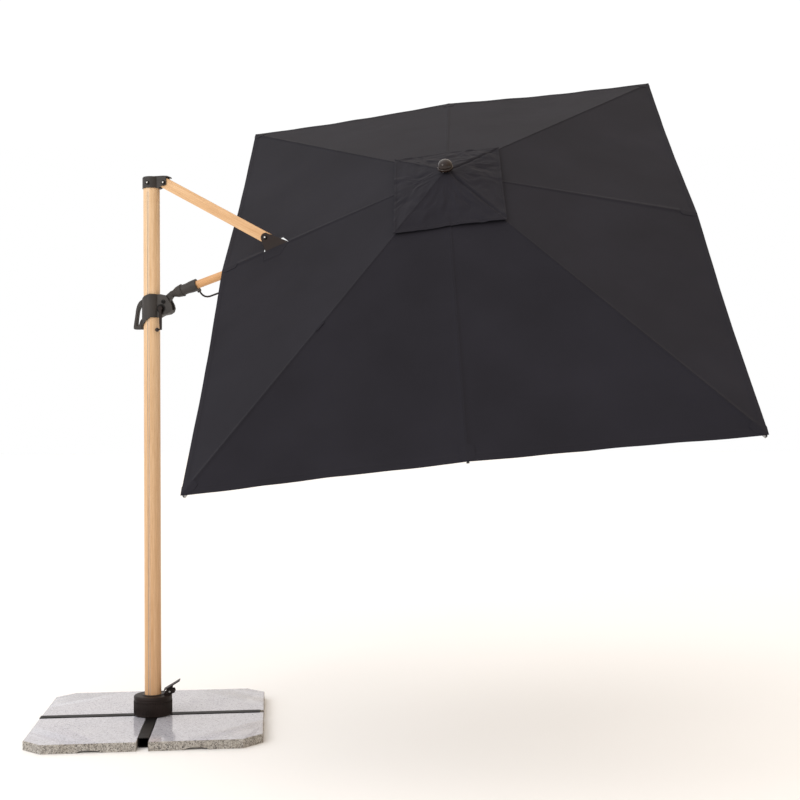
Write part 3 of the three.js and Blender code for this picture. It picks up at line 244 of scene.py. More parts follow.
# Polished granite: nearly a mirror at a low angle, so it goes pale and shows the foot in it.
granite_polished = granite(
    "granite_polished",
    [(0.0, "#8f8f95"), (0.05, "#b1b1b8"), (0.3, "#bfbfc7"), (0.62, "#cbcbd3")],
    [(0.3, "#ececf0"), (0.7, "#ffffff")],
    0.00002,
    (0.05, 0.16),
)
# Split granite: broken crystal faces, dull, and warmer where the weather has got into it.
granite_split = granite(
    "granite_split",
    [(0.0, "#5b5856"), (0.14, "#8d8984"), (0.42, "#aaa6a0"), (0.72, "#c2bfba")],
    [(0.3, "#dbd5cb"), (0.7, "#ffffff")],
    0.0012,
    (0.6, 0.95),
)


def place_in_scene(name, mesh, *materials):
    """An object for a finished mesh, in the scene, with its materials."""
    made = bpy.data.objects.new(name, mesh)
    scene.collection.objects.link(made)
    for material in materials:
        mesh.materials.append(material)
    return made


def body_of(node):
    return frame["nodes"][node]["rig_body"]


def stand_for(piece, node):
    """The piece takes the CAD node's place, body and finish."""
    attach(piece, body_of(node))
    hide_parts(node)


def slab_perimeter(low, high):
    """Points round a slab, counter-clockwise, each with whether its edge is a split one."""
    sign_x = 1 if low.x > 0 else -1
    sign_y = 1 if low.y > 0 else -1
    inner = min(abs(low.x), abs(high.x))
    outer = max(abs(low.x), abs(high.x))
    near = outer - CORNER_CUT
    corners = [(inner, inner), (outer, inner), (outer, near), (near, outer), (inner, outer)]
    split = [False, True, True, True, False]
    middle = (inner + near) / 2
    points = []
    for k, start in enumerate(corners):
        start = Vector(start)
        end = Vector(corners[(k + 1) % 5])
        count = max(2, round((end - start).length / EDGE_STEP))
        for step in range(count):
            spot = start.lerp(end, step / count)
            notched = 0.0
            if k in (1, 3):
                offset = abs((spot.y if k == 1 else spot.x) - middle) / NOTCH_HALF
                notched = max(0.0, 1 - offset**4)
            points.append((Vector((sign_x * spot.x, sign_y * spot.y)), split[k], notched))
    return points if sign_x * sign_y > 0 else points[::-1]


SLAB_LEVELS = (0.0, 0.1, 0.24, 0.4, 0.56, 0.7, 0.83, 0.93, 1.0)


def stone_slab(node):
    low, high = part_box(node)
    thickness = high.z - low.z
    around = slab_perimeter(low, high)
    count = len(around)
    centre = Vector(((low.x + high.x) / 2, (low.y + high.y) / 2))
    points = []
    for level in SLAB_LEVELS:
        for spot, split, notched in around:
            inward = (centre - spot).normalized()
            seed = Vector((spot.x, spot.y, level * thickness))
            chips = 0.5 + 0.5 * noise.noise(seed * 55) + 0.3 * noise.noise(seed * 170)
            depth = 0.0036 * max(0.0, chips) if split else 0.0004
            if level == 1.0:
                depth += 0.0022 if split else 0.0012
            moved = spot + inward * depth
            lift = NOTCH_RISE * notched * (1 - level)
            points.append((moved.x, moved.y, level * thickness + lift))
    for spot, split, notched in around:
        moved = spot + (centre - spot).normalized() * NOTCH_DEPTH
        points.append((moved.x, moved.y, 0.0))
    rings = len(SLAB_LEVELS)
    faces = []
    for ring in range(rings - 1):
        for k in range(count):
            after = (k + 1) % count
            lower, upper = ring * count, (ring + 1) * count
            faces.append((lower + k, lower + after, upper + after, upper + k))
    inner = rings * count
    for k in range(count):
        after = (k + 1) % count
        faces.append((inner + k, inner + after, after, k))
    side_faces = len(faces)
    faces.append(tuple(range((rings - 1) * count, rings * count)))
    faces.append(tuple(range(inner + count - 1, inner - 1, -1)))
    mesh = bpy.data.meshes.new(node + "_stone")
    mesh.from_pydata(points, [], faces)
    slab = place_in_scene(node + "_stone", mesh, granite_polished, granite_split)
    for k, face in enumerate(mesh.polygons):
        face.material_index = 0 if k == side_faces else 1
        face.use_smooth = k < side_faces
    mesh.set_sharp_from_angle(angle=math.radians(50))
    stand_for(slab, node)


for end in ("front", "rear"):
    for side in ("left", "right"):
        stone_slab("slab_" + end + "_" + side)

# ------------------------------------------------------------------ cross bars
# Square steel tube, welded to a cross and powder coated; the long bar goes right through.
STEEL_EDGE = 0.0018


def powder_coat(name, dark, pale, roughness):
    """Powder coat: baked paint with a fine orange peel, dull, with a broad soft highlight."""
    material, tree, shader = new_material(name, IOR=1.5, Specular_IOR_Level=0.2)
    spot = object_coordinates(tree)
    drift = add_node(tree, "ShaderNodeTexNoise", {"Vector": spot, "Scale": 14.0, "Detail": 5.0})
    tone = colour_ramp(tree, drift.outputs["Fac"], [(0.3, dark), (0.75, pale)])
    tree.links.new(tone, shader.inputs["Base Color"])
    peel = add_node(tree, "ShaderNodeTexNoise", {"Vector": spot, "Scale": 420.0, "Detail": 2.0})
    roughened(tree, shader, drift.outputs["Fac"], *roughness)
    bumped(tree, shader, peel.outputs["Fac"], 0.0002, 0.5)
    return material


bar_coat = powder_coat("powder_coated_bars", "#0b0909", "#131010", (0.45, 0.65))
steel_coat = powder_coat("powder_coated_steel", "#1b1412", "#261c19", (0.4, 0.6))


def shaped(name, shape, *materials, crease=38):
    """A mesh from a bmesh, smooth but for its creases, as an object in the scene."""
    mesh = bpy.data.meshes.new(name)
    shape.to_mesh(mesh)
    shape.free()
    mesh.shade_smooth()
    mesh.set_sharp_from_angle(angle=math.radians(crease))
    return place_in_scene(name, mesh, *materials)


def welded_copy(node):
    """A CAD node's solid with its loose triangles welded and its flats made whole."""
    shape = bmesh.new()
    shape.from_mesh(frame["nodes"][node].data)
    shape.transform(frame["nodes"][node].matrix_world)
    bmesh.ops.remove_doubles(shape, verts=shape.verts, dist=2e-5)
    flats = {"verts": shape.verts, "edges": shape.edges, "angle_limit": math.radians(0.6)}
    bmesh.ops.dissolve_limit(shape, **flats)
    return shape


def finish_node(node, material, edge, segments=2, crease=38):
    """A CAD node with its sharp edges rounded, which stands for the node in its own finish."""
    shape = welded_copy(node)
    limit = math.radians(crease)
    sharp = [e for e in shape.edges if e.is_manifold and e.calc_face_angle(0.0) > limit]
    rounding = {"geom": sharp, "offset": edge, "segments": segments, "profile": 0.5}
    bmesh.ops.bevel(shape, affect="EDGES", clamp_overlap=True, **rounding)
    piece = shaped(node + "_finished", shape, material, crease=crease)
    weighted = piece.modifiers.new("even_flats", "WEIGHTED_NORMAL")
    weighted.keep_sharp = True
    stand_for(piece, node)
    return piece


for node in ("cross_bar_long", "cross_bar_front", "cross_bar_rear"):
    finish_node(node, bar_coat, STEEL_EDGE)

# ------------------------------------------------------------------ foot and pedal
# The turning foot is a spun steel housing with an upright fluted wall; a sloping pedal of folded steel
# on top frees it.
FLUTE_COUNT = 72
FLUTE_HEIGHT_SHARE = 0.62

foot_low, foot_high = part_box("foot_socket")
foot_centre = (foot_low + foot_high) / 2
finish_node("foot_socket", steel_coat, 0.0008)
finish_node("pedal_bracket", steel_coat, 0.0008)
finish_node("turn_pedal", steel_coat, 0.0009)

# Injection-moulded polyamide: spark-eroded texture, matt, a warm black that greys where light grazes.
moulded, tree, shader = new_material("moulded_polyamide", IOR=1.5, Specular_IOR_Level=0.4)
spot = object_coordinates(tree)
drift = add_node(tree, "ShaderNodeTexNoise", {"Vector": spot, "Scale": 18.0, "Detail": 4.0})
tone = colour_ramp(tree, drift.outputs["Fac"], [(0.3, "#2a2725"), (0.75, "#35312f")])
tree.links.new(tone, shader.inputs["Base Color"])
sparks = add_node(tree, "ShaderNodeTexNoise", {"Vector": spot, "Scale": 650.0, "Detail": 3.0})
roughened(tree, shader, sparks.outputs["Fac"], 0.42, 0.62)
bumped(tree, shader, sparks.outputs["Fac"], 0.00025, 0.55)
finish_node("swivel_bush", moulded, 0.0008)


def group_tree(name, inputs):
    """An empty Geometry Nodes tree with a geometry input, named inputs and a geometry output."""
    tree = bpy.data.node_groups.new(name, "GeometryNodeTree")
    tree.interface.new_socket("Geometry", in_out="INPUT", socket_type="NodeSocketGeometry")
    for label, kind in inputs.items():
        tree.interface.new_socket(label, in_out="INPUT", socket_type="NodeSocket" + kind)
    tree.interface.new_socket("Geometry", in_out="OUTPUT", socket_type="NodeSocketGeometry")
    return tree, add_node(tree, "NodeGroupInput").outputs


def grown(name, tree, values, mesh, material):
    """What a Geometry Nodes tree makes of a mesh with these input values, as a plain mesh object."""
    seedling = place_in_scene(name, mesh)
    modifier = seedling.modifiers.new("grow", "NODES")
    modifier.node_group = tree
    named = {item.name: item.identifier for item in tree.interface.items_tree if item.in_out == "INPUT"}
    for label, value in values.items():
        modifier[named[label]] = value
    modifier[named["Finish"]] = material
    evaluated = seedling.evaluated_get(bpy.context.evaluated_depsgraph_get())
    result = bpy.data.meshes.new_from_object(evaluated)
    bpy.data.objects.remove(seedling)
    result.name = name
    made = bpy.data.objects.new(name, result)
    scene.collection.objects.link(made)
    return made


# Upright bars set round a circle: the flutes of the foot and the grip ribs of the tilt sleeve.
flute_tree, given = group_tree(
    "flutes_round_a_wall",
    {"Radius": "Float", "Count": "Int", "Length": "Float", "Width": "Float", "Finish": "Material"},
)
circle = add_node(
    flute_tree, "GeometryNodeMeshCircle", {"Vertices": given["Count"], "Radius": given["Radius"]}
)
rod = add_node(
    flute_tree,
    "GeometryNodeMeshCylinder",
    {"Vertices": 8, "Radius": given["Width"], "Depth": given["Length"]},
)
ring = add_node(
    flute_tree,
    "GeometryNodeInstanceOnPoints",
    {"Points": circle.outputs["Mesh"], "Instance": rod.outputs["Mesh"]},
)
real = add_node(flute_tree, "GeometryNodeRealizeInstances", {"Geometry": ring.outputs["Instances"]})
coated = add_node(
    flute_tree,
    "GeometryNodeSetMaterial",
    {"Geometry": real.outputs["Geometry"], "Material": given["Finish"]},
)
add_node(flute_tree, "NodeGroupOutput", {"Geometry": coated.outputs["Geometry"]})


def flutes(name, place, body, material, radius, count, length, width):
    sizes = {"Radius": radius, "Count": count, "Length": length, "Width": width}
    made = grown(name, flute_tree, sizes, bpy.data.meshes.new(name), material)
    made.data.transform(place)
    made.data.shade_smooth()
    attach(made, body)


foot_radius = (foot_high.x - foot_low.x) / 2
flutes(
    "foot_flutes",
    Matrix.Translation(foot_centre - Vector((0, 0, 0.008))),
    "base",
    steel_coat,
    foot_radius - 0.0006,
    FLUTE_COUNT,
    (foot_high.z - foot_low.z) * FLUTE_HEIGHT_SHARE,
    0.0014,
)


def lathe(profile, place, segments=32):
    """A profile of (radius, height), bottom first, turned about its axis and closed at both ends."""
    shape = bmesh.new()
    rings = []
    for radius, height in profile:
        if radius < 1e-6:
            rings.append([shape.verts.new((0, 0, height))])
            continue
        turns = [2 * math.pi * k / segments for k in range(segments)]
        ring = [shape.verts.new((radius * math.cos(t), radius * math.sin(t), height)) for t in turns]
        rings.append(ring)
    for low, high in zip(rings, rings[1:]):
        for k in range(segments):
            after = (k + 1) % segments
            corners = [low[k % len(low)], low[after % len(low)], high[after % len(high)], high[k % len(high)]]
            shape.faces.new(list(dict.fromkeys(corners)))
    bmesh.ops.recalc_face_normals(shape, faces=shape.faces)
    bmesh.ops.transform(shape, matrix=place, verts=shape.verts)
    return shape


def facing(point, direction):
    """The place of a turned piece that stands at a point with its axis along a direction."""
    return Matrix.Translation(point) @ Vector(direction).to_track_quat("Z", "Y").to_matrix().to_4x4()


def joined(shapes):
    """Several bmeshes as one."""
    whole = bmesh.new()
    for shape in shapes:
        part = bpy.data.meshes.new("part")
        shape.to_mesh(part)
        shape.free()
        whole.from_mesh(part)
        bpy.data.meshes.remove(part)
    return whole


# Turned stainless steel: bright, with fine turning marks that blur its highlight.
turned_steel, tree, shader = new_material("turned_stainless", Metallic=1.0)
spot = object_coordinates(tree)
marks = add_node(tree, "ShaderNodeTexNoise", {"Vector": spot, "Scale": 900.0, "Detail": 2.0})
tone = colour_ramp(tree, marks.outputs["Fac"], [(0.3, "#a4a4a2"), (0.7, "#bcbcba")])
tree.links.new(tone, shader.inputs["Base Color"])
roughened(tree, shader, marks.outputs["Fac"], 0.22, 0.4)
bumped(tree, shader, marks.outputs["Fac"], 0.00008, 0.4)

# Blackened steel: the same bolts dipped black, satin, brown where the light strikes.
black_oxide = powder_coat("blackened_steel", "#0c0a0a", "#141211", (0.4, 0.6))


def cad_points(node):
    """The corners of a CAD node."""
    placed = frame["nodes"][node]
    return [placed.matrix_world @ vertex.co for vertex in placed.data.vertices]


def button_heads(node, axis, material, share=0.6):
    """Domed socket heads on black washers over the two ends of a CAD bolt, which stays as its shank."""
    low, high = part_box(node)
    middle = (low + high) / 2
    axis = Vector(axis).normalized()
    spots = [spot - middle for spot in cad_points(node)]
    reach = max(spot.dot(axis) for spot in spots)
    radius = max((spot - axis * spot.dot(axis)).length for spot in spots)
    washer = [(0.0, 0.0), (1.04, 0.0), (1.04, 0.0049), (0.96, 0.0053), (0.0, 0.0053)]
    dome = [(0.0, 0.005), (1.0, 0.005), (1.0, 0.0058), (0.86, 0.0074), (0.55, 0.0082)]
    socket = [(0.5, 0.006), (0.0, 0.006)]
    for name, profile, size, finish in (
        ("washers", washer, radius, black_oxide),
        ("heads", dome + socket, radius * share, material),
    ):
        sized = [(size * across, height) for across, height in profile]
        ends = [lathe(sized, facing(middle + axis * side * (reach - 0.005), axis * side)) for side in (-1, 1)]
        piece = shaped(node + "_" + name, joined(ends), finish, crease=50)
        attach(piece, body_of(node))
    frame["nodes"][node].data.materials.clear()
    frame["nodes"][node].data.materials.append(black_oxide)


joints = {joint["name"]: joint for joint in frame["joints"]}


def pivot(name):
    return Vector(joints[name]["pos_m"])


def axis_of(name):
    return Vector(joints[name]["axis"]).normalized()


button_heads("pedal_pin", axis_of("pedal_press"), turned_steel)

# Satin anodised aluminium: extruded, etched and anodised clear, softly bright along its length.
anodised, tree, shader = new_material("satin_anodised_aluminium", Metallic=1.0)
spot = object_coordinates(tree)
haze = add_node(tree, "ShaderNodeTexNoise", {"Vector": spot, "Scale": 60.0, "Detail": 5.0})
tone = colour_ramp(tree, haze.outputs["Fac"], [(0.3, "#9c9d9f"), (0.7, "#b4b5b6")])
tree.links.new(tone, shader.inputs["Base Color"])
roughened(tree, shader, haze.outputs["Fac"], 0.34, 0.5)
bumped(tree, shader, haze.outputs["Fac"], 0.0001, 0.3)

# ------------------------------------------------------------------ mast
# A round aluminium tube wrapped in a beech-look film under clear lacquer, with a groove down each side;
# a moulded cap closes its top and holds the strut between two cheeks.


def beech_film(name, along, start, length, shade_tones):
    """Beech-look film: a printed pale grain along the tube, satin; tinted from the first to the second of two
    painted-shade tones along the length.
    """
    material, tree, shader = new_material(name, IOR=1.48, Specular_IOR_Level=0.4)
    turn = Vector(along).to_track_quat("Z", "Y").to_matrix().inverted()
    spot = object_coordinates(tree, turn, start)
    height = add_node(tree, "ShaderNodeSeparateXYZ", {"Vector": spot}).outputs["Z"]
    share = add_node(tree, "ShaderNodeMapRange", {"Value": height, "From Max": length}).outputs["Result"]
    # Painted shade: the tint that runs from the start of the tube to its end.
    colours = [colour_ramp(tree, share, [(0.0, shade_tones[0]), (1.0, shade_tones[1])])]
    for scale, detail, stops in (
        ((70, 70, 1.4), 3.0, [(0.25, "#dcba93"), (0.5, "#e4c5a2"), (0.75, "#ebd0b0")]),
        ((700, 700, 11), 4.0, [(0.3, "#e6dccf"), (0.62, "#ffffff")]),
        ((1300, 1300, 240), 2.0, [(0.27, "#c9a27a"), (0.34, "#ffffff")]),
    ):
        drawn = add_node(tree, "ShaderNodeMapping", {"Vector": spot, "Scale": scale})
        grain = {"Vector": drawn.outputs["Vector"], "Scale": 1.0, "Detail": detail}
        value = add_node(tree, "ShaderNodeTexNoise", grain).outputs["Fac"]
        colours.append(colour_ramp(tree, value, stops))
    for layer in colours[1:]:
        mixing = {"Fac": 1.0, "Color1": colours[0], "Color2": layer}
        colours[0] = add_node(tree, "ShaderNodeMixRGB", mixing, blend_type="MULTIPLY").outputs["Color"]
    tree.links.new(colours[0], shader.inputs["Base Color"])
    roughened(tree, shader, value, 0.38, 0.52)
    bumped(tree, shader, value, 0.00006, 0.4)
    return material


# Painted shade: the mast's film is tinted darker and warmer towards its foot.
mast_shade_tones = ("#efdecb", "#fffffb")
mast_film = beech_film("beech_film_upright", (0, 0, 1), (0, 0, 0), 2.5, mast_shade_tones)
finish_node("mast_tube", mast_film, 0.0006)

# Painted highlights: a pale anodised strip at each edge of the mast's grooves stands for the grooves' bright
# edges.
groove_highlight_strips = []
mast_low, mast_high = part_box("mast_tube")
mast_radius = (mast_high.x - mast_low.x) / 2
groove_way = Vector((-axis_of("fold").x, -axis_of("fold").y, 0))
groove_side = groove_way.cross(Vector((0, 0, 1)))
bottom, top_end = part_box("foot_socket")[1].z - 0.02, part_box("head_cap")[0].z + 0.005
for facing_side in (-1, 1):
    for edge_side in (-1, 1):
        middle = groove_way * facing_side * (mast_radius - 0.0013) + groove_side * edge_side * 0.0042
        highlight_strip = [(0.0, 0.0), (0.0011, 0.0), (0.0011, top_end - bottom), (0.0, top_end - bottom)]
        groove_highlight_strips.append(lathe(highlight_strip, Matrix.Translation(middle + Vector((0, 0, bottom))), 8))
highlight_piece = shaped("mast_groove_highlights", joined(groove_highlight_strips), anodised, crease=50)
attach(highlight_piece, "mast")
finish_node("head_cap", moulded, 0.0016, 3)
button_heads("head_bolt", axis_of("fold"), turned_steel)
button_heads("strut_bolt", axis_of("fold"), turned_steel)

# ------------------------------------------------------------------ strut and knee
# A rectangular tube in the same film runs from the head to the knee, where a sleeve of welded steel on
# the arm holds it between two gusset plates with a bolt.
strut_way = (pivot("knee_turn") - pivot("fold")).normalized()
# Painted shade: the strut's film is tinted a warm pale tone, a little darker towards the knee.
strut_film = beech_film("beech_film_strut", strut_way, pivot("fold"), 0.6, ("#f5ebda", "#f3e3cc"))
finish_node("strut_tube", strut_film, 0.0022, 3)
finish_node("knee_bracket", steel_coat, 0.0011)
button_heads("knee_bolt", axis_of("knee_turn"), turned_steel)

# ------------------------------------------------------------------ slider
# The moulded housing slides on the mast; its pull handle is screwed on at the back, and a steel cam
# lever with a ball knob clamps it; a black ring round its pivot is painted shade in the recess it turns in.
finish_node("slider_housing", moulded, 0.0014, 3)
finish_node("slider_handle", moulded, 0.003, 3)
finish_node("knuckle", moulded, 0.0014)
finish_node("clamp_lever", steel_coat, 0.0012)
button_heads("knuckle_pin", axis_of("slider_pivot"), black_oxide)

# Glossy plastic: deep brown, polished in the mould, with clear reflections and faint flow lines.
gloss_plastic, tree, shader = new_material(
    "gloss_plastic", IOR=1.5, Specular_IOR_Level=0.3, Coat_Weight=0.12, Coat_Roughness=0.05
)
spot = object_coordinates(tree)
flow = add_node(tree, "ShaderNodeTexNoise", {"Vector": spot, "Scale": 35.0, "Detail": 3.0})
tone = colour_ramp(tree, flow.outputs["Fac"], [(0.3, "#1a100c"), (0.75, "#261812")])
tree.links.new(tone, shader.inputs["Base Color"])
roughened(tree, shader, flow.outputs["Fac"], 0.12, 0.24)
bumped(tree, shader, flow.outputs["Fac"], 0.00015, 0.3)

lever_side = -axis_of("clamp_swing")
boss = pivot("clamp_swing")
# Painted shade: a black ring round the lever's pivot, where its recess is in shade.
recess_shade_ring = [(0.0116, 0.0), (0.0215, 0.0), (0.0221, 0.0009), (0.0205, 0.0014), (0.0125, 0.0006), (0.0116, 0.0)]


def ring(profile, place, segments=48):
    """A closed profile of (radius, height) turned about its axis."""
    shape = bmesh.new()
    rings = []
    for radius, height in profile[:-1]:
        turns = [2 * math.pi * k / segments for k in range(segments)]
        rings.append([shape.verts.new((radius * math.cos(t), radius * math.sin(t), height)) for t in turns])
    for k, low in enumerate(rings):
        high = rings[(k + 1) % len(rings)]
        for j in range(segments):
            after = (j + 1) % segments
            shape.faces.new((low[j], low[after], high[after], high[j]))
    bmesh.ops.recalc_face_normals(shape, faces=shape.faces)
    bmesh.ops.transform(shape, matrix=place, verts=shape.verts)
    return shape


lever_recess_shade = shaped("lever_recess_shade", ring(recess_shade_ring, facing(boss + lever_side * 0.024, lever_side)), black_oxide)
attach(lever_recess_shade, "slider")

low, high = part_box("lever_knob")
ball_radius = (high.z - low.z) / 2
ball_steps = [math.pi * k / 16 - math.pi / 2 for k in range(17)]
ball_profile = [(max(0.0, ball_radius * math.cos(t)), ball_radius * math.sin(t)) for t in ball_steps]
ball_profile[0] = (0.0, -ball_radius)
ball_profile[-1] = (0.0, ball_radius)
knob_way = Vector((-lever_side.y, lever_side.x, 0)).normalized()
lever_ball = shaped("lever_ball", lathe(ball_profile, facing((low + high) / 2, knob_way)), gloss_plastic)
stand_for(lever_ball, "lever_knob")

# ------------------------------------------------------------------ arm
# A round tube in beech film, turned by a ribbed sleeve at its foot; a bent steel rod below it and two
# collars stop and hold its turn.
arm_way = axis_of("tilt")
arm_start = pivot("tilt")
# Painted shade: the arm's film is tinted one darker, warmer tone all along.
arm_film = beech_film("beech_film_arm", arm_way, arm_start, 1.3, ("#ecd6ba", "#ecd6ba"))
finish_node("arm_tube", arm_film, 0.0006)
for node in ("tilt_ring", "tilt_sleeve", "stop_collar_lower", "stop_collar_upper"):
    finish_node(node, moulded, 0.0012)
finish_node("tilt_rod", steel_coat, 0.0006)


def along_axis(node, origin, way):
    """Where a CAD node starts and ends along an axis, and its radius about it."""
    spots = [spot - origin for spot in cad_points(node)]
    stations = [spot.dot(way) for spot in spots]
    radius = max((spot - way * spot.dot(way)).length for spot in spots)
    return min(stations), max(stations), radius


ring_start, ring_end, ring_radius = along_axis("tilt_ring", arm_start, arm_way)
flutes(
    "tilt_ring_grips",
    facing(arm_start + arm_way * (ring_start + ring_end) / 2, arm_way),
    "arm",
    moulded,
    ring_radius,
    26,
    (ring_end - ring_start) * 0.8,
    0.0016,
)

finish_node("arm_tongue", anodised, 0.0008)

# ------------------------------------------------------------------ crown, ribs and stretchers
# The moulded crown hinges at the arm's end and holds seven extruded ribs; a stretcher pushes each rib
# out from a runner below.
finish_node("crown_hub", moulded, 0.001)
finish_node("runner", moulded, 0.001)
finish_node("stub_tube", anodised, 0.0006)
button_heads("crown_pin", axis_of("crown_turn"), turned_steel)
RIM = (
    ("mid_outer", (1, 0)),
    ("far_outer", (1, 1)),
    ("mid_far", (0, 1)),
    ("far_arm", (-1, 1)),
    ("mid_arm", (-1, 0)),
    ("near_arm", (-1, -1)),
    ("mid_near", (0, -1)),
    ("near_outer", (1, -1)),
)
for name, way in RIM:
    if name != "mid_arm":
        finish_node("rib_" + name, anodised, 0.0008)
        finish_node("stretcher_" + name, anodised, 0.0008)

# ------------------------------------------------------------------ canopy
# Eight panels of woven polyester, one on each rib and one on the arm, sewn together and stretched to
# the rib ends: felled seams over the ribs, a folded hem, a pocket on each rib end, and a slit where
# the knee comes through.
CLOTH_THICKNESS = 0.0012
PEAK_OPENING = 0.05
HEM_SHARE = 0.0225
SEAM_HALF = 0.0062
SEAM_RAISE = 0.0011
STITCH_PITCH, STITCH_LENGTH, STITCH_RADIUS = 0.0065, 0.0042, 0.0004
STITCHES_BEFORE_SLIT = 31
FOLDED_KEEP = 0.08

# Woven polyester: solution-dyed anthracite, a plain weave of fine yarn, dull, with a soft pale bloom
# where it is seen at a low angle.
woven, tree, shader = new_material(
    "woven_polyester", Roughness=0.86, Specular_IOR_Level=0.12, Sheen_Weight=0.02, Sheen_Roughness=0.5
)
cloth_place = add_node(tree, "ShaderNodeUVMap", uv_map="cloth_metres").outputs["UV"]
yarn_scale = {"Vector": cloth_place, "Scale": 260.0, "Distortion": 0.4, "Detail": 1.0}
warp = add_node(tree, "ShaderNodeTexWave", yarn_scale, bands_direction="X")
weft = add_node(tree, "ShaderNodeTexWave", yarn_scale, bands_direction="Y")
crossing = {0: warp.outputs["Fac"], 1: weft.outputs["Fac"]}
weave = add_node(tree, "ShaderNodeMath", crossing, operation="MULTIPLY").outputs["Value"]
cloth_tone = add_node(tree, "ShaderNodeTexNoise", {"Vector": cloth_place, "Scale": 2.2, "Detail": 6.0})
dye = colour_ramp(tree, cloth_tone.outputs["Fac"], [(0.3, "#212026"), (0.7, "#27262d")])
yarn = colour_ramp(tree, weave, [(0.0, "#e6e6e8"), (0.8, "#ffffff")])
dyed = add_node(tree, "ShaderNodeMixRGB", {"Fac": 1.0, "Color1": dye, "Color2": yarn}, blend_type="MULTIPLY")
tree.links.new(dyed.outputs["Color"], shader.inputs["Base Color"])
bumped(tree, shader, weave, 0.0002, 0.35)

# Sewing thread: twisted polyester, a shade darker and glossier than the cloth.
thread, tree, shader = new_material("sewing_thread", Roughness=0.7, Specular_IOR_Level=0.2)
spot = object_coordinates(tree)
twist = add_node(tree, "ShaderNodeTexNoise", {"Vector": spot, "Scale": 1500.0})
tone = colour_ramp(tree, twist.outputs["Fac"], [(0.3, "#151418"), (0.7, "#1e1d22")])
tree.links.new(tone, shader.inputs["Base Color"])

crown_y = axis_of("crown_turn")
crown_x = -axis_of("rib_turn_mid_far")
crown_z = crown_x.cross(crown_y).normalized()
RIB_PIVOT_OUT, RIB_PIVOT_UP = 0.052, 0.035
crown_middle = pivot("rib_turn_mid_outer") - crown_x * RIB_PIVOT_OUT - crown_z * RIB_PIVOT_UP
crown_place = Matrix.Translation(crown_middle) @ Matrix((crown_x, crown_y, crown_z)).transposed().to_4x4()
into_crown = crown_place.inverted()


def rim_tip(name, way):
    """The end of a rib's line on the cloth, in the crown's axes."""
    outward = Vector((*way, 0)).normalized() + Vector((0, 0, 0.01))
    return max((into_crown @ spot for spot in cad_points("canopy_" + name)), key=outward.dot)


tips = [rim_tip(name, way) for name, way in RIM]
tip_turns = [0.0] + [math.atan2(tip.y, tip.x) % math.tau for tip in tips[1:]]
outer_points = [into_crown @ spot for spot in cad_points("canopy_mid_outer")]
top = max(outer_points, key=lambda spot: spot.z - abs(spot.y))
peak = (top.z - top.x / tips[0].x * tips[0].z) / (1 - top.x / tips[0].x)


def canopy_height(x, y):
    """The cloth's height in the crown's axes: flat from rib to rib, a little slack between them."""
    turn = math.atan2(y, x) % math.tau
    sector = max((k for k in range(8) if tip_turns[k] <= turn + 1e-9), default=7)
    first, second = tips[sector], tips[(sector + 1) % 8]
    whole = first.x * second.y - first.y * second.x
    share_first = (x * second.y - y * second.x) / whole
    share_second = (first.x * y - first.y * x) / whole
    out = max(1e-6, share_first + share_second)
    height = peak + share_first * (first.z - peak) + share_second * (second.z - peak)
    between = max(0.0, 4 * share_first * share_second / out**2)
    slack = 0.010 * between * out * min(1.0, 1.7 - out)
    creases = noise.noise(Vector((x * 5, y * 5, 3.0))) + 0.4 * noise.noise(Vector((x * 13, y * 13, 8.0)))
    pull = math.sin(9 * math.pi * share_second / out) * max(0.0, out - 0.72) * 0.004
    return height - slack + between * out * (0.0024 * creases + pull)


def smooth_step(value):
    value = min(1.0, max(0.0, value))
    return value * value * (3 - 2 * value)


def panel_rows(start, rows, hem):
    """Shares of the way from the peak to the hem's edge, closer together over the hem."""
    inner = [start + (1 - hem * 1.15 - start) * k / rows for k in range(rows + 1)]
    return inner + [1 - hem * share for share in (1.0, 0.9, 0.5, 0.16, 0.05, 0.0)]


def panel_spot(out, rib, border, span_share, gap, height, hem):
    """A point of a panel: out from the peak, and across from the rib towards a border."""
    reach = (border - rib).to_2d() * out
    offset = gap + span_share if span_share < 0.01 else span_share
    across = offset / reach.length
    spot = rib.to_2d() * out + reach * across
    spot *= 1 - 0.005 * out**3 * math.sin(math.pi / 2 * min(1.0, across)) ** 2
    raised = SEAM_RAISE * (1 - smooth_step((offset - gap - SEAM_HALF + 0.0008) / 0.0016))
    folded = 0.0012 * smooth_step((out - 1 + hem) / (hem * 0.08) + 0.5)
    return Vector((spot.x, spot.y, height(spot.x, spot.y) + raised + folded))


def cloth_panel(name, rib, borders, height, start, rows, columns, hem, opening=None):
    """A panel sewn along its rib, as a closed two-faced sheet in the crown's axes."""
    shape = bmesh.new()
    for side, border in enumerate(borders):
        grid = []
        for out in panel_rows(start, rows, hem):
            gap = opening(rib.to_2d().length * out) if opening else 0.0
            span = (border - rib).to_2d().length * out
            near = [0.0, SEAM_HALF * 0.6, SEAM_HALF - 0.0008, SEAM_HALF + 0.0008]
            first = gap + near[-1]
            far = [first + (span - first) * k / columns for k in range(1, columns + 1)]
            line = [panel_spot(out, rib, border, d, gap, height, hem) for d in near]
            line += [panel_spot(out, rib, border, d, gap, height, hem) for d in far]
            grid.append([shape.verts.new(spot) for spot in line])
        for low, high in zip(grid, grid[1:]):
            for k in range(len(low) - 1):
                corners = (low[k], high[k], high[k + 1], low[k + 1])
                shape.faces.new(corners if side else corners[::-1])
    bmesh.ops.remove_doubles(shape, verts=shape.verts, dist=1e-6)
    bmesh.ops.recalc_face_normals(shape, faces=shape.faces)
    bmesh.ops.solidify(shape, geom=shape.faces[:], thickness=CLOTH_THICKNESS)
    bmesh.ops.recalc_face_normals(shape, faces=shape.faces)
    return shape


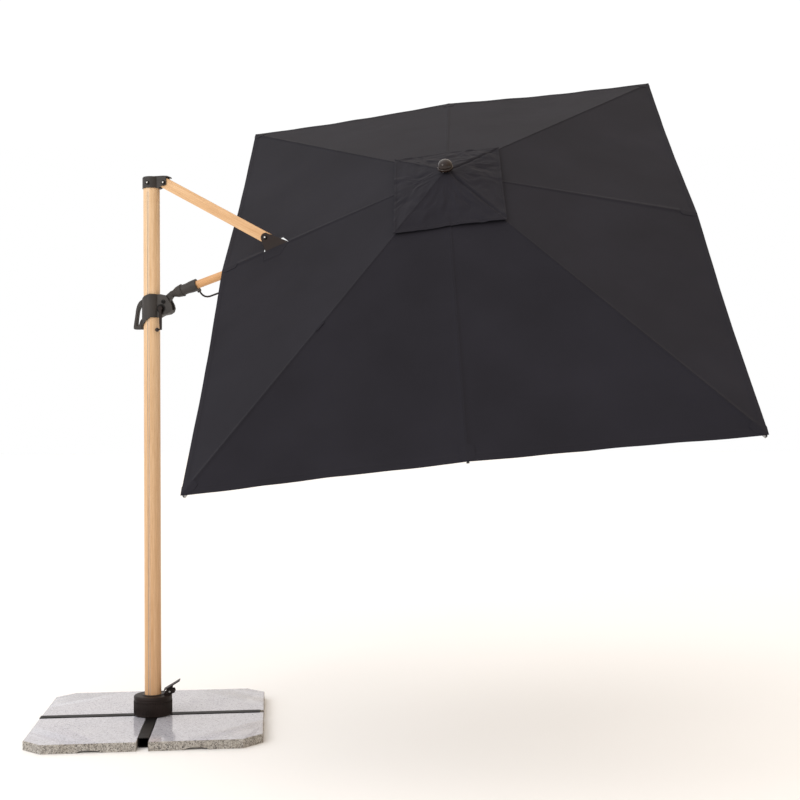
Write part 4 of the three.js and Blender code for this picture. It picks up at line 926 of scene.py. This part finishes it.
def sewn(name, shape, material, body, joint="fold", axis=None, anchor=None, keep=FOLDED_KEEP):
    """A cloth piece made in the crown's axes, which rides on the body that it is given."""
    layer = shape.loops.layers.uv.new("cloth_metres")
    for face in shape.faces:
        for loop in face.loops:
            loop[layer].uv = loop.vert.co.xy
    shape.transform(crown_place)
    piece = shaped(name, shape, material, crease=50)
    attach(piece, body)
    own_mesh(piece)
    return piece


ARM_PANEL_ASIDE = 0.11


def fold_of(name):
    """The body that a panel rides on, and an axis and an anchor: its rib's turn, or the crown's beside the
    arm.
    """
    if name == "mid_arm":
        # This one rides on the arm, its anchor on the near side, where the knee's bracket isn't.
        aside = pivot("crown_turn") - crown_y * ARM_PANEL_ASIDE
        return {"body": "arm", "axis": crown_y, "anchor": aside}
    joint = "rib_turn_" + name
    return {"body": "rib_" + name, "axis": axis_of(joint), "anchor": pivot(joint)}


# The slit, a little wider than the way that the knee's bracket takes from one tilt to the other: its
# ends' distances from the peak and its half width; the end towards the peak narrows to the middle.
SLIT_START, SLIT_END, SLIT_HALF = 0.7672, 0.885, 0.068
SLIT_TIP, SLIT_SLANT = 0.008, 0.5


def slit_half(out):
    """The slit's half width at a distance from the peak."""
    inside = SLIT_START <= out <= SLIT_END
    return min(SLIT_HALF, SLIT_TIP + (out - SLIT_START) / SLIT_SLANT) if inside else 0.0


for k, (name, way) in enumerate(RIM):
    rib = tips[k]
    borders = [(tips[k] + tips[k - 1]) / 2, (tips[k] + tips[(k + 1) % 8]) / 2]
    opening = slit_half if name == "mid_arm" else None
    rows = 220 if opening else 96
    shape = cloth_panel(name, rib, borders, canopy_height, PEAK_OPENING, rows, 26, HEM_SHARE, opening)
    panel = sewn("cloth_" + name, shape, woven, **fold_of(name))
    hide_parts("canopy_" + name)

def patch(spots, thickness, raise_by, height=canopy_height):
    """A layer laid on the cloth: rows of (x, y) places as a closed sheet of some thickness."""
    shape = bmesh.new()
    grid = [[shape.verts.new((x, y, height(x, y) + raise_by)) for x, y in row] for row in spots]
    for low, high in zip(grid, grid[1:]):
        for k in range(len(low) - 1):
            shape.faces.new((low[k], low[k + 1], high[k + 1], high[k]))
    bmesh.ops.recalc_face_normals(shape, faces=shape.faces)
    bmesh.ops.solidify(shape, geom=shape.faces[:], thickness=thickness)
    bmesh.ops.recalc_face_normals(shape, faces=shape.faces)
    return shape


def along_rib(tip, back, length, half, narrow=10.0):
    """Places for a tab with rounded ends along a rib, that far back from the rib's end."""
    way = tip.to_2d().normalized()
    across = Vector((-way.y, way.x))
    rows = []
    for k in range(13):
        share = k / 12
        rounding = max(0.0, 1 - abs(2 * share - 1) ** 6) ** (1 / 3)
        down = back + length * share
        wide = min(half * max(rounding, 0.25), down * narrow)
        middle = tip.to_2d() - way * down
        rows.append([tuple(middle + across * wide * step / 4) for step in range(-4, 5)])
    return rows


# A pocket of doubled cloth over each rib's end.
for k, (name, way) in enumerate(RIM):
    corner = 0 not in way
    pocket = patch(along_rib(tips[k], 0.003, 0.075, 0.03, 0.8 if corner else 10.0), 0.0014, 0.0022)
    sewn("pocket_" + name, pocket, woven, **fold_of(name))

# The tie strap's end, a folded webbing tab sewn to the seam over the near rib on the arm's side.
tie = patch(along_rib(tips[5], tips[5].to_2d().length * 0.47, 0.055, 0.008), 0.0035, 0.0042)
sewn("strap_tab", tie, woven, **fold_of("near_arm"))

# ------------------------------------------------------------------ slit flap
# A loose flap of the same cloth, sewn along the slit's near side, closes it up to the knee's bracket.
# Its seam is cut on the slit's slant.
FLAP_LAP = 0.002
FLAP_EDGE = 0.001
FLAP_END = SLIT_END + 0.008
FLAP_ROWS, FLAP_COLUMNS = 14, 20
flap_hem = -SLIT_HALF - FLAP_LAP
flap_step = (FLAP_EDGE - flap_hem) / FLAP_ROWS
flap_rows = []
flap_lengths = []
for k in range(FLAP_ROWS + 1):
    y = flap_hem + flap_step * k
    start = SLIT_START + SLIT_SLANT * max(0.0, abs(y) - SLIT_TIP) - FLAP_LAP
    flap_lengths.append(FLAP_END - start)
    step = flap_lengths[-1] / FLAP_COLUMNS
    flap_rows.append([(-start - step * j, y) for j in range(FLAP_COLUMNS + 1)])
flap_anchor = crown_place @ Vector((0, -SLIT_HALF - 0.006, 0))
flap_shape = patch(flap_rows, CLOTH_THICKNESS, 0.0004)
slit_flap = sewn(
    "slit_flap", flap_shape, woven, "arm", joint="tilt", axis=crown_y, anchor=flap_anchor, keep=0.05
)

# ------------------------------------------------------------------ vent cap
# A second, small roof over the opening at the peak, four panels gathered under the knob so that fine
# ripples run out from it; its hem hangs free just over the canopy.
cap_points = [into_crown @ spot for spot in cad_points("vent_cap")]
cap_x = max(spot.x for spot in cap_points)
cap_y = max(spot.y for spot in cap_points)
CAP_RISE = 0.0115
CAP_HEM_SHARE = 0.05


def cap_height(x, y):
    """The cap's height in the crown's axes: the canopy's, raised, with ripples out from the knob."""
    out = max(abs(x) / cap_x, abs(y) / cap_y)
    turn = math.atan2(y / cap_y, x / cap_x)
    wander = 0.5 * noise.noise(Vector((x * 9, y * 9, 1.0)))
    around = Vector((math.cos(turn + wander), math.sin(turn + wander), 0.9 * out))
    ripple = noise.noise(around * 3.6) + 0.5 * noise.noise(around * 8 + Vector((5, 0, 0)))
    deep = 0.0105 * smooth_step((out - 0.12) * 2.2) * (1 - 0.5 * out)
    gathered = 0.002 * math.sin(5 * turn + 1) * out**2
    off_hip = (abs(x) * cap_y - abs(y) * cap_x) / math.hypot(cap_x, cap_y)
    depth = 0.009 if y > 0 else 0.015
    fold = depth * math.exp(-(((off_hip - 0.006) / 0.009) ** 2)) * smooth_step(out * 4) if x > 0 else 0.0
    return canopy_height(x, y) + CAP_RISE + deep * ripple + gathered - fold * (1 - 0.7 * out)


for k in (1, 3, 5, 7):
    name, (way_x, way_y) = RIM[k]
    spots = [(way_x * cap_x, way_y * cap_y), (0, way_y * cap_y), (way_x * cap_x, 0)]
    if way_x * way_y > 0:
        spots[1:] = spots[:0:-1]
    corner, *borders = [Vector((x, y, canopy_height(x, y) + CAP_RISE)) for x, y in spots]
    shape = cloth_panel("cap", corner, borders, cap_height, 0.05, 60, 44, CAP_HEM_SHARE)
    quarter = sewn("vent_cap_" + name, shape, woven, **fold_of(name))
    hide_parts("vent_cap")

# ------------------------------------------------------------------ knob
# The turned-looking knob that clamps the cap on the crown: a moulded dome over a rim and a groove.
knob_points = [into_crown @ spot for spot in cad_points("finial_knob")]
knob_radius = max(spot.to_2d().length for spot in knob_points)
knob_low = min(spot.z for spot in knob_points)
knob_high = max(spot.z for spot in knob_points)
knob_profile = [(0.0, 0.0), (0.95, 0.0), (1.0, 0.06), (1.0, 0.2), (0.95, 0.27), (0.87, 0.29), (0.87, 0.34)]
for k in range(13):
    turn = k / 12 * math.pi / 2
    knob_profile.append((0.93 * math.cos(turn) if k < 12 else 0.0, 0.36 + 0.64 * math.sin(turn)))
knob_rise = knob_high - knob_low
knob_profile = [(across * knob_radius, knob_low + up * knob_rise) for across, up in knob_profile]
finial = shaped("finial_dome", lathe(knob_profile, crown_place, 64), gloss_plastic, crease=50)
stand_for(finial, "finial_knob")

# ------------------------------------------------------------------ stitching
# Lockstitch along both sides of every seam and along the hems.
stitch_tree, given = group_tree(
    "stitches_along_lines",
    {"Pitch": "Float", "Length": "Float", "Radius": "Float", "Finish": "Material"},
)
lines = add_node(stitch_tree, "GeometryNodeMeshToCurve", {"Mesh": given["Geometry"]})
spaced = add_node(
    stitch_tree,
    "GeometryNodeCurveToPoints",
    {"Curve": lines.outputs["Curve"], "Length": given["Pitch"]},
    mode="LENGTH",
)
single = add_node(
    stitch_tree,
    "GeometryNodeMeshCylinder",
    {"Vertices": 5, "Radius": given["Radius"], "Depth": given["Length"]},
)
laid = add_node(
    stitch_tree,
    "GeometryNodeInstanceOnPoints",
    {
        "Points": spaced.outputs["Points"],
        "Instance": single.outputs["Mesh"],
        "Rotation": spaced.outputs["Rotation"],
    },
)
real = add_node(stitch_tree, "GeometryNodeRealizeInstances", {"Geometry": laid.outputs["Instances"]})
sewn_in = add_node(
    stitch_tree,
    "GeometryNodeSetMaterial",
    {"Geometry": real.outputs["Geometry"], "Material": given["Finish"]},
)
add_node(stitch_tree, "NodeGroupOutput", {"Geometry": sewn_in.outputs["Geometry"]})


def stitch_lines(rib, borders, height, start, hem, steps):
    """Two lines beside a seam and one along the hem to each border, in the crown's axes."""
    seam_offset, hem_out = SEAM_HALF * 0.72, 1 - hem * 0.8
    lines = []
    for border in borders:
        reach = (border - rib).to_2d().normalized()
        spots = []
        for k in range(steps + 1):
            out = start + (hem_out - 0.003 - start) * k / steps
            spots.append(rib.to_2d() * out + reach * seam_offset)
        lines.append(spots)
        whole = (border - rib).to_2d()
        spots = []
        for k in range(steps // 2 + 1):
            across = 0.012 + 0.988 * k / (steps // 2)
            spot = (rib.to_2d() + whole * across) * hem_out
            spots.append(spot * (1 - 0.005 * hem_out**3 * math.sin(math.pi / 2 * across) ** 2))
        lines.append(spots)
    return [[Vector((x, y, height(x, y) + 0.0013)) for x, y in spots] for spots in lines]


def stitching(name, lines, fold):
    """Stitches along lines, which ride on the body of the panel that they hold."""
    points, edges = [], []
    for line in lines:
        edges += [(len(points) + k, len(points) + k + 1) for k in range(len(line) - 1)]
        points += [crown_place @ spot for spot in line]
    guide = bpy.data.meshes.new(name)
    guide.from_pydata(points, edges, [])
    sizes = {"Pitch": STITCH_PITCH, "Length": STITCH_LENGTH, "Radius": STITCH_RADIUS}
    made = grown(name, stitch_tree, sizes, guide, thread)
    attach(made, fold["body"])
    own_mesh(made)


for k, (name, way) in enumerate(RIM):
    borders = [(tips[k] + tips[k - 1]) / 2, (tips[k] + tips[(k + 1) % 8]) / 2]
    rows = stitch_lines(tips[k], borders, canopy_height, 0.24, HEM_SHARE, 60)
    if name == "mid_arm":
        rows = [line[:STITCHES_BEFORE_SLIT] for line in rows]
    if 0 not in way:
        corner = Vector((way[0] * cap_x, way[1] * cap_y, 0))
        mids = [Vector((corner.x, 0, 0)), Vector((0, corner.y, 0))]
        rows += stitch_lines(corner, mids, cap_height, 0.12, CAP_HEM_SHARE, 40)
    stitching("stitches_" + name, rows, fold_of(name))
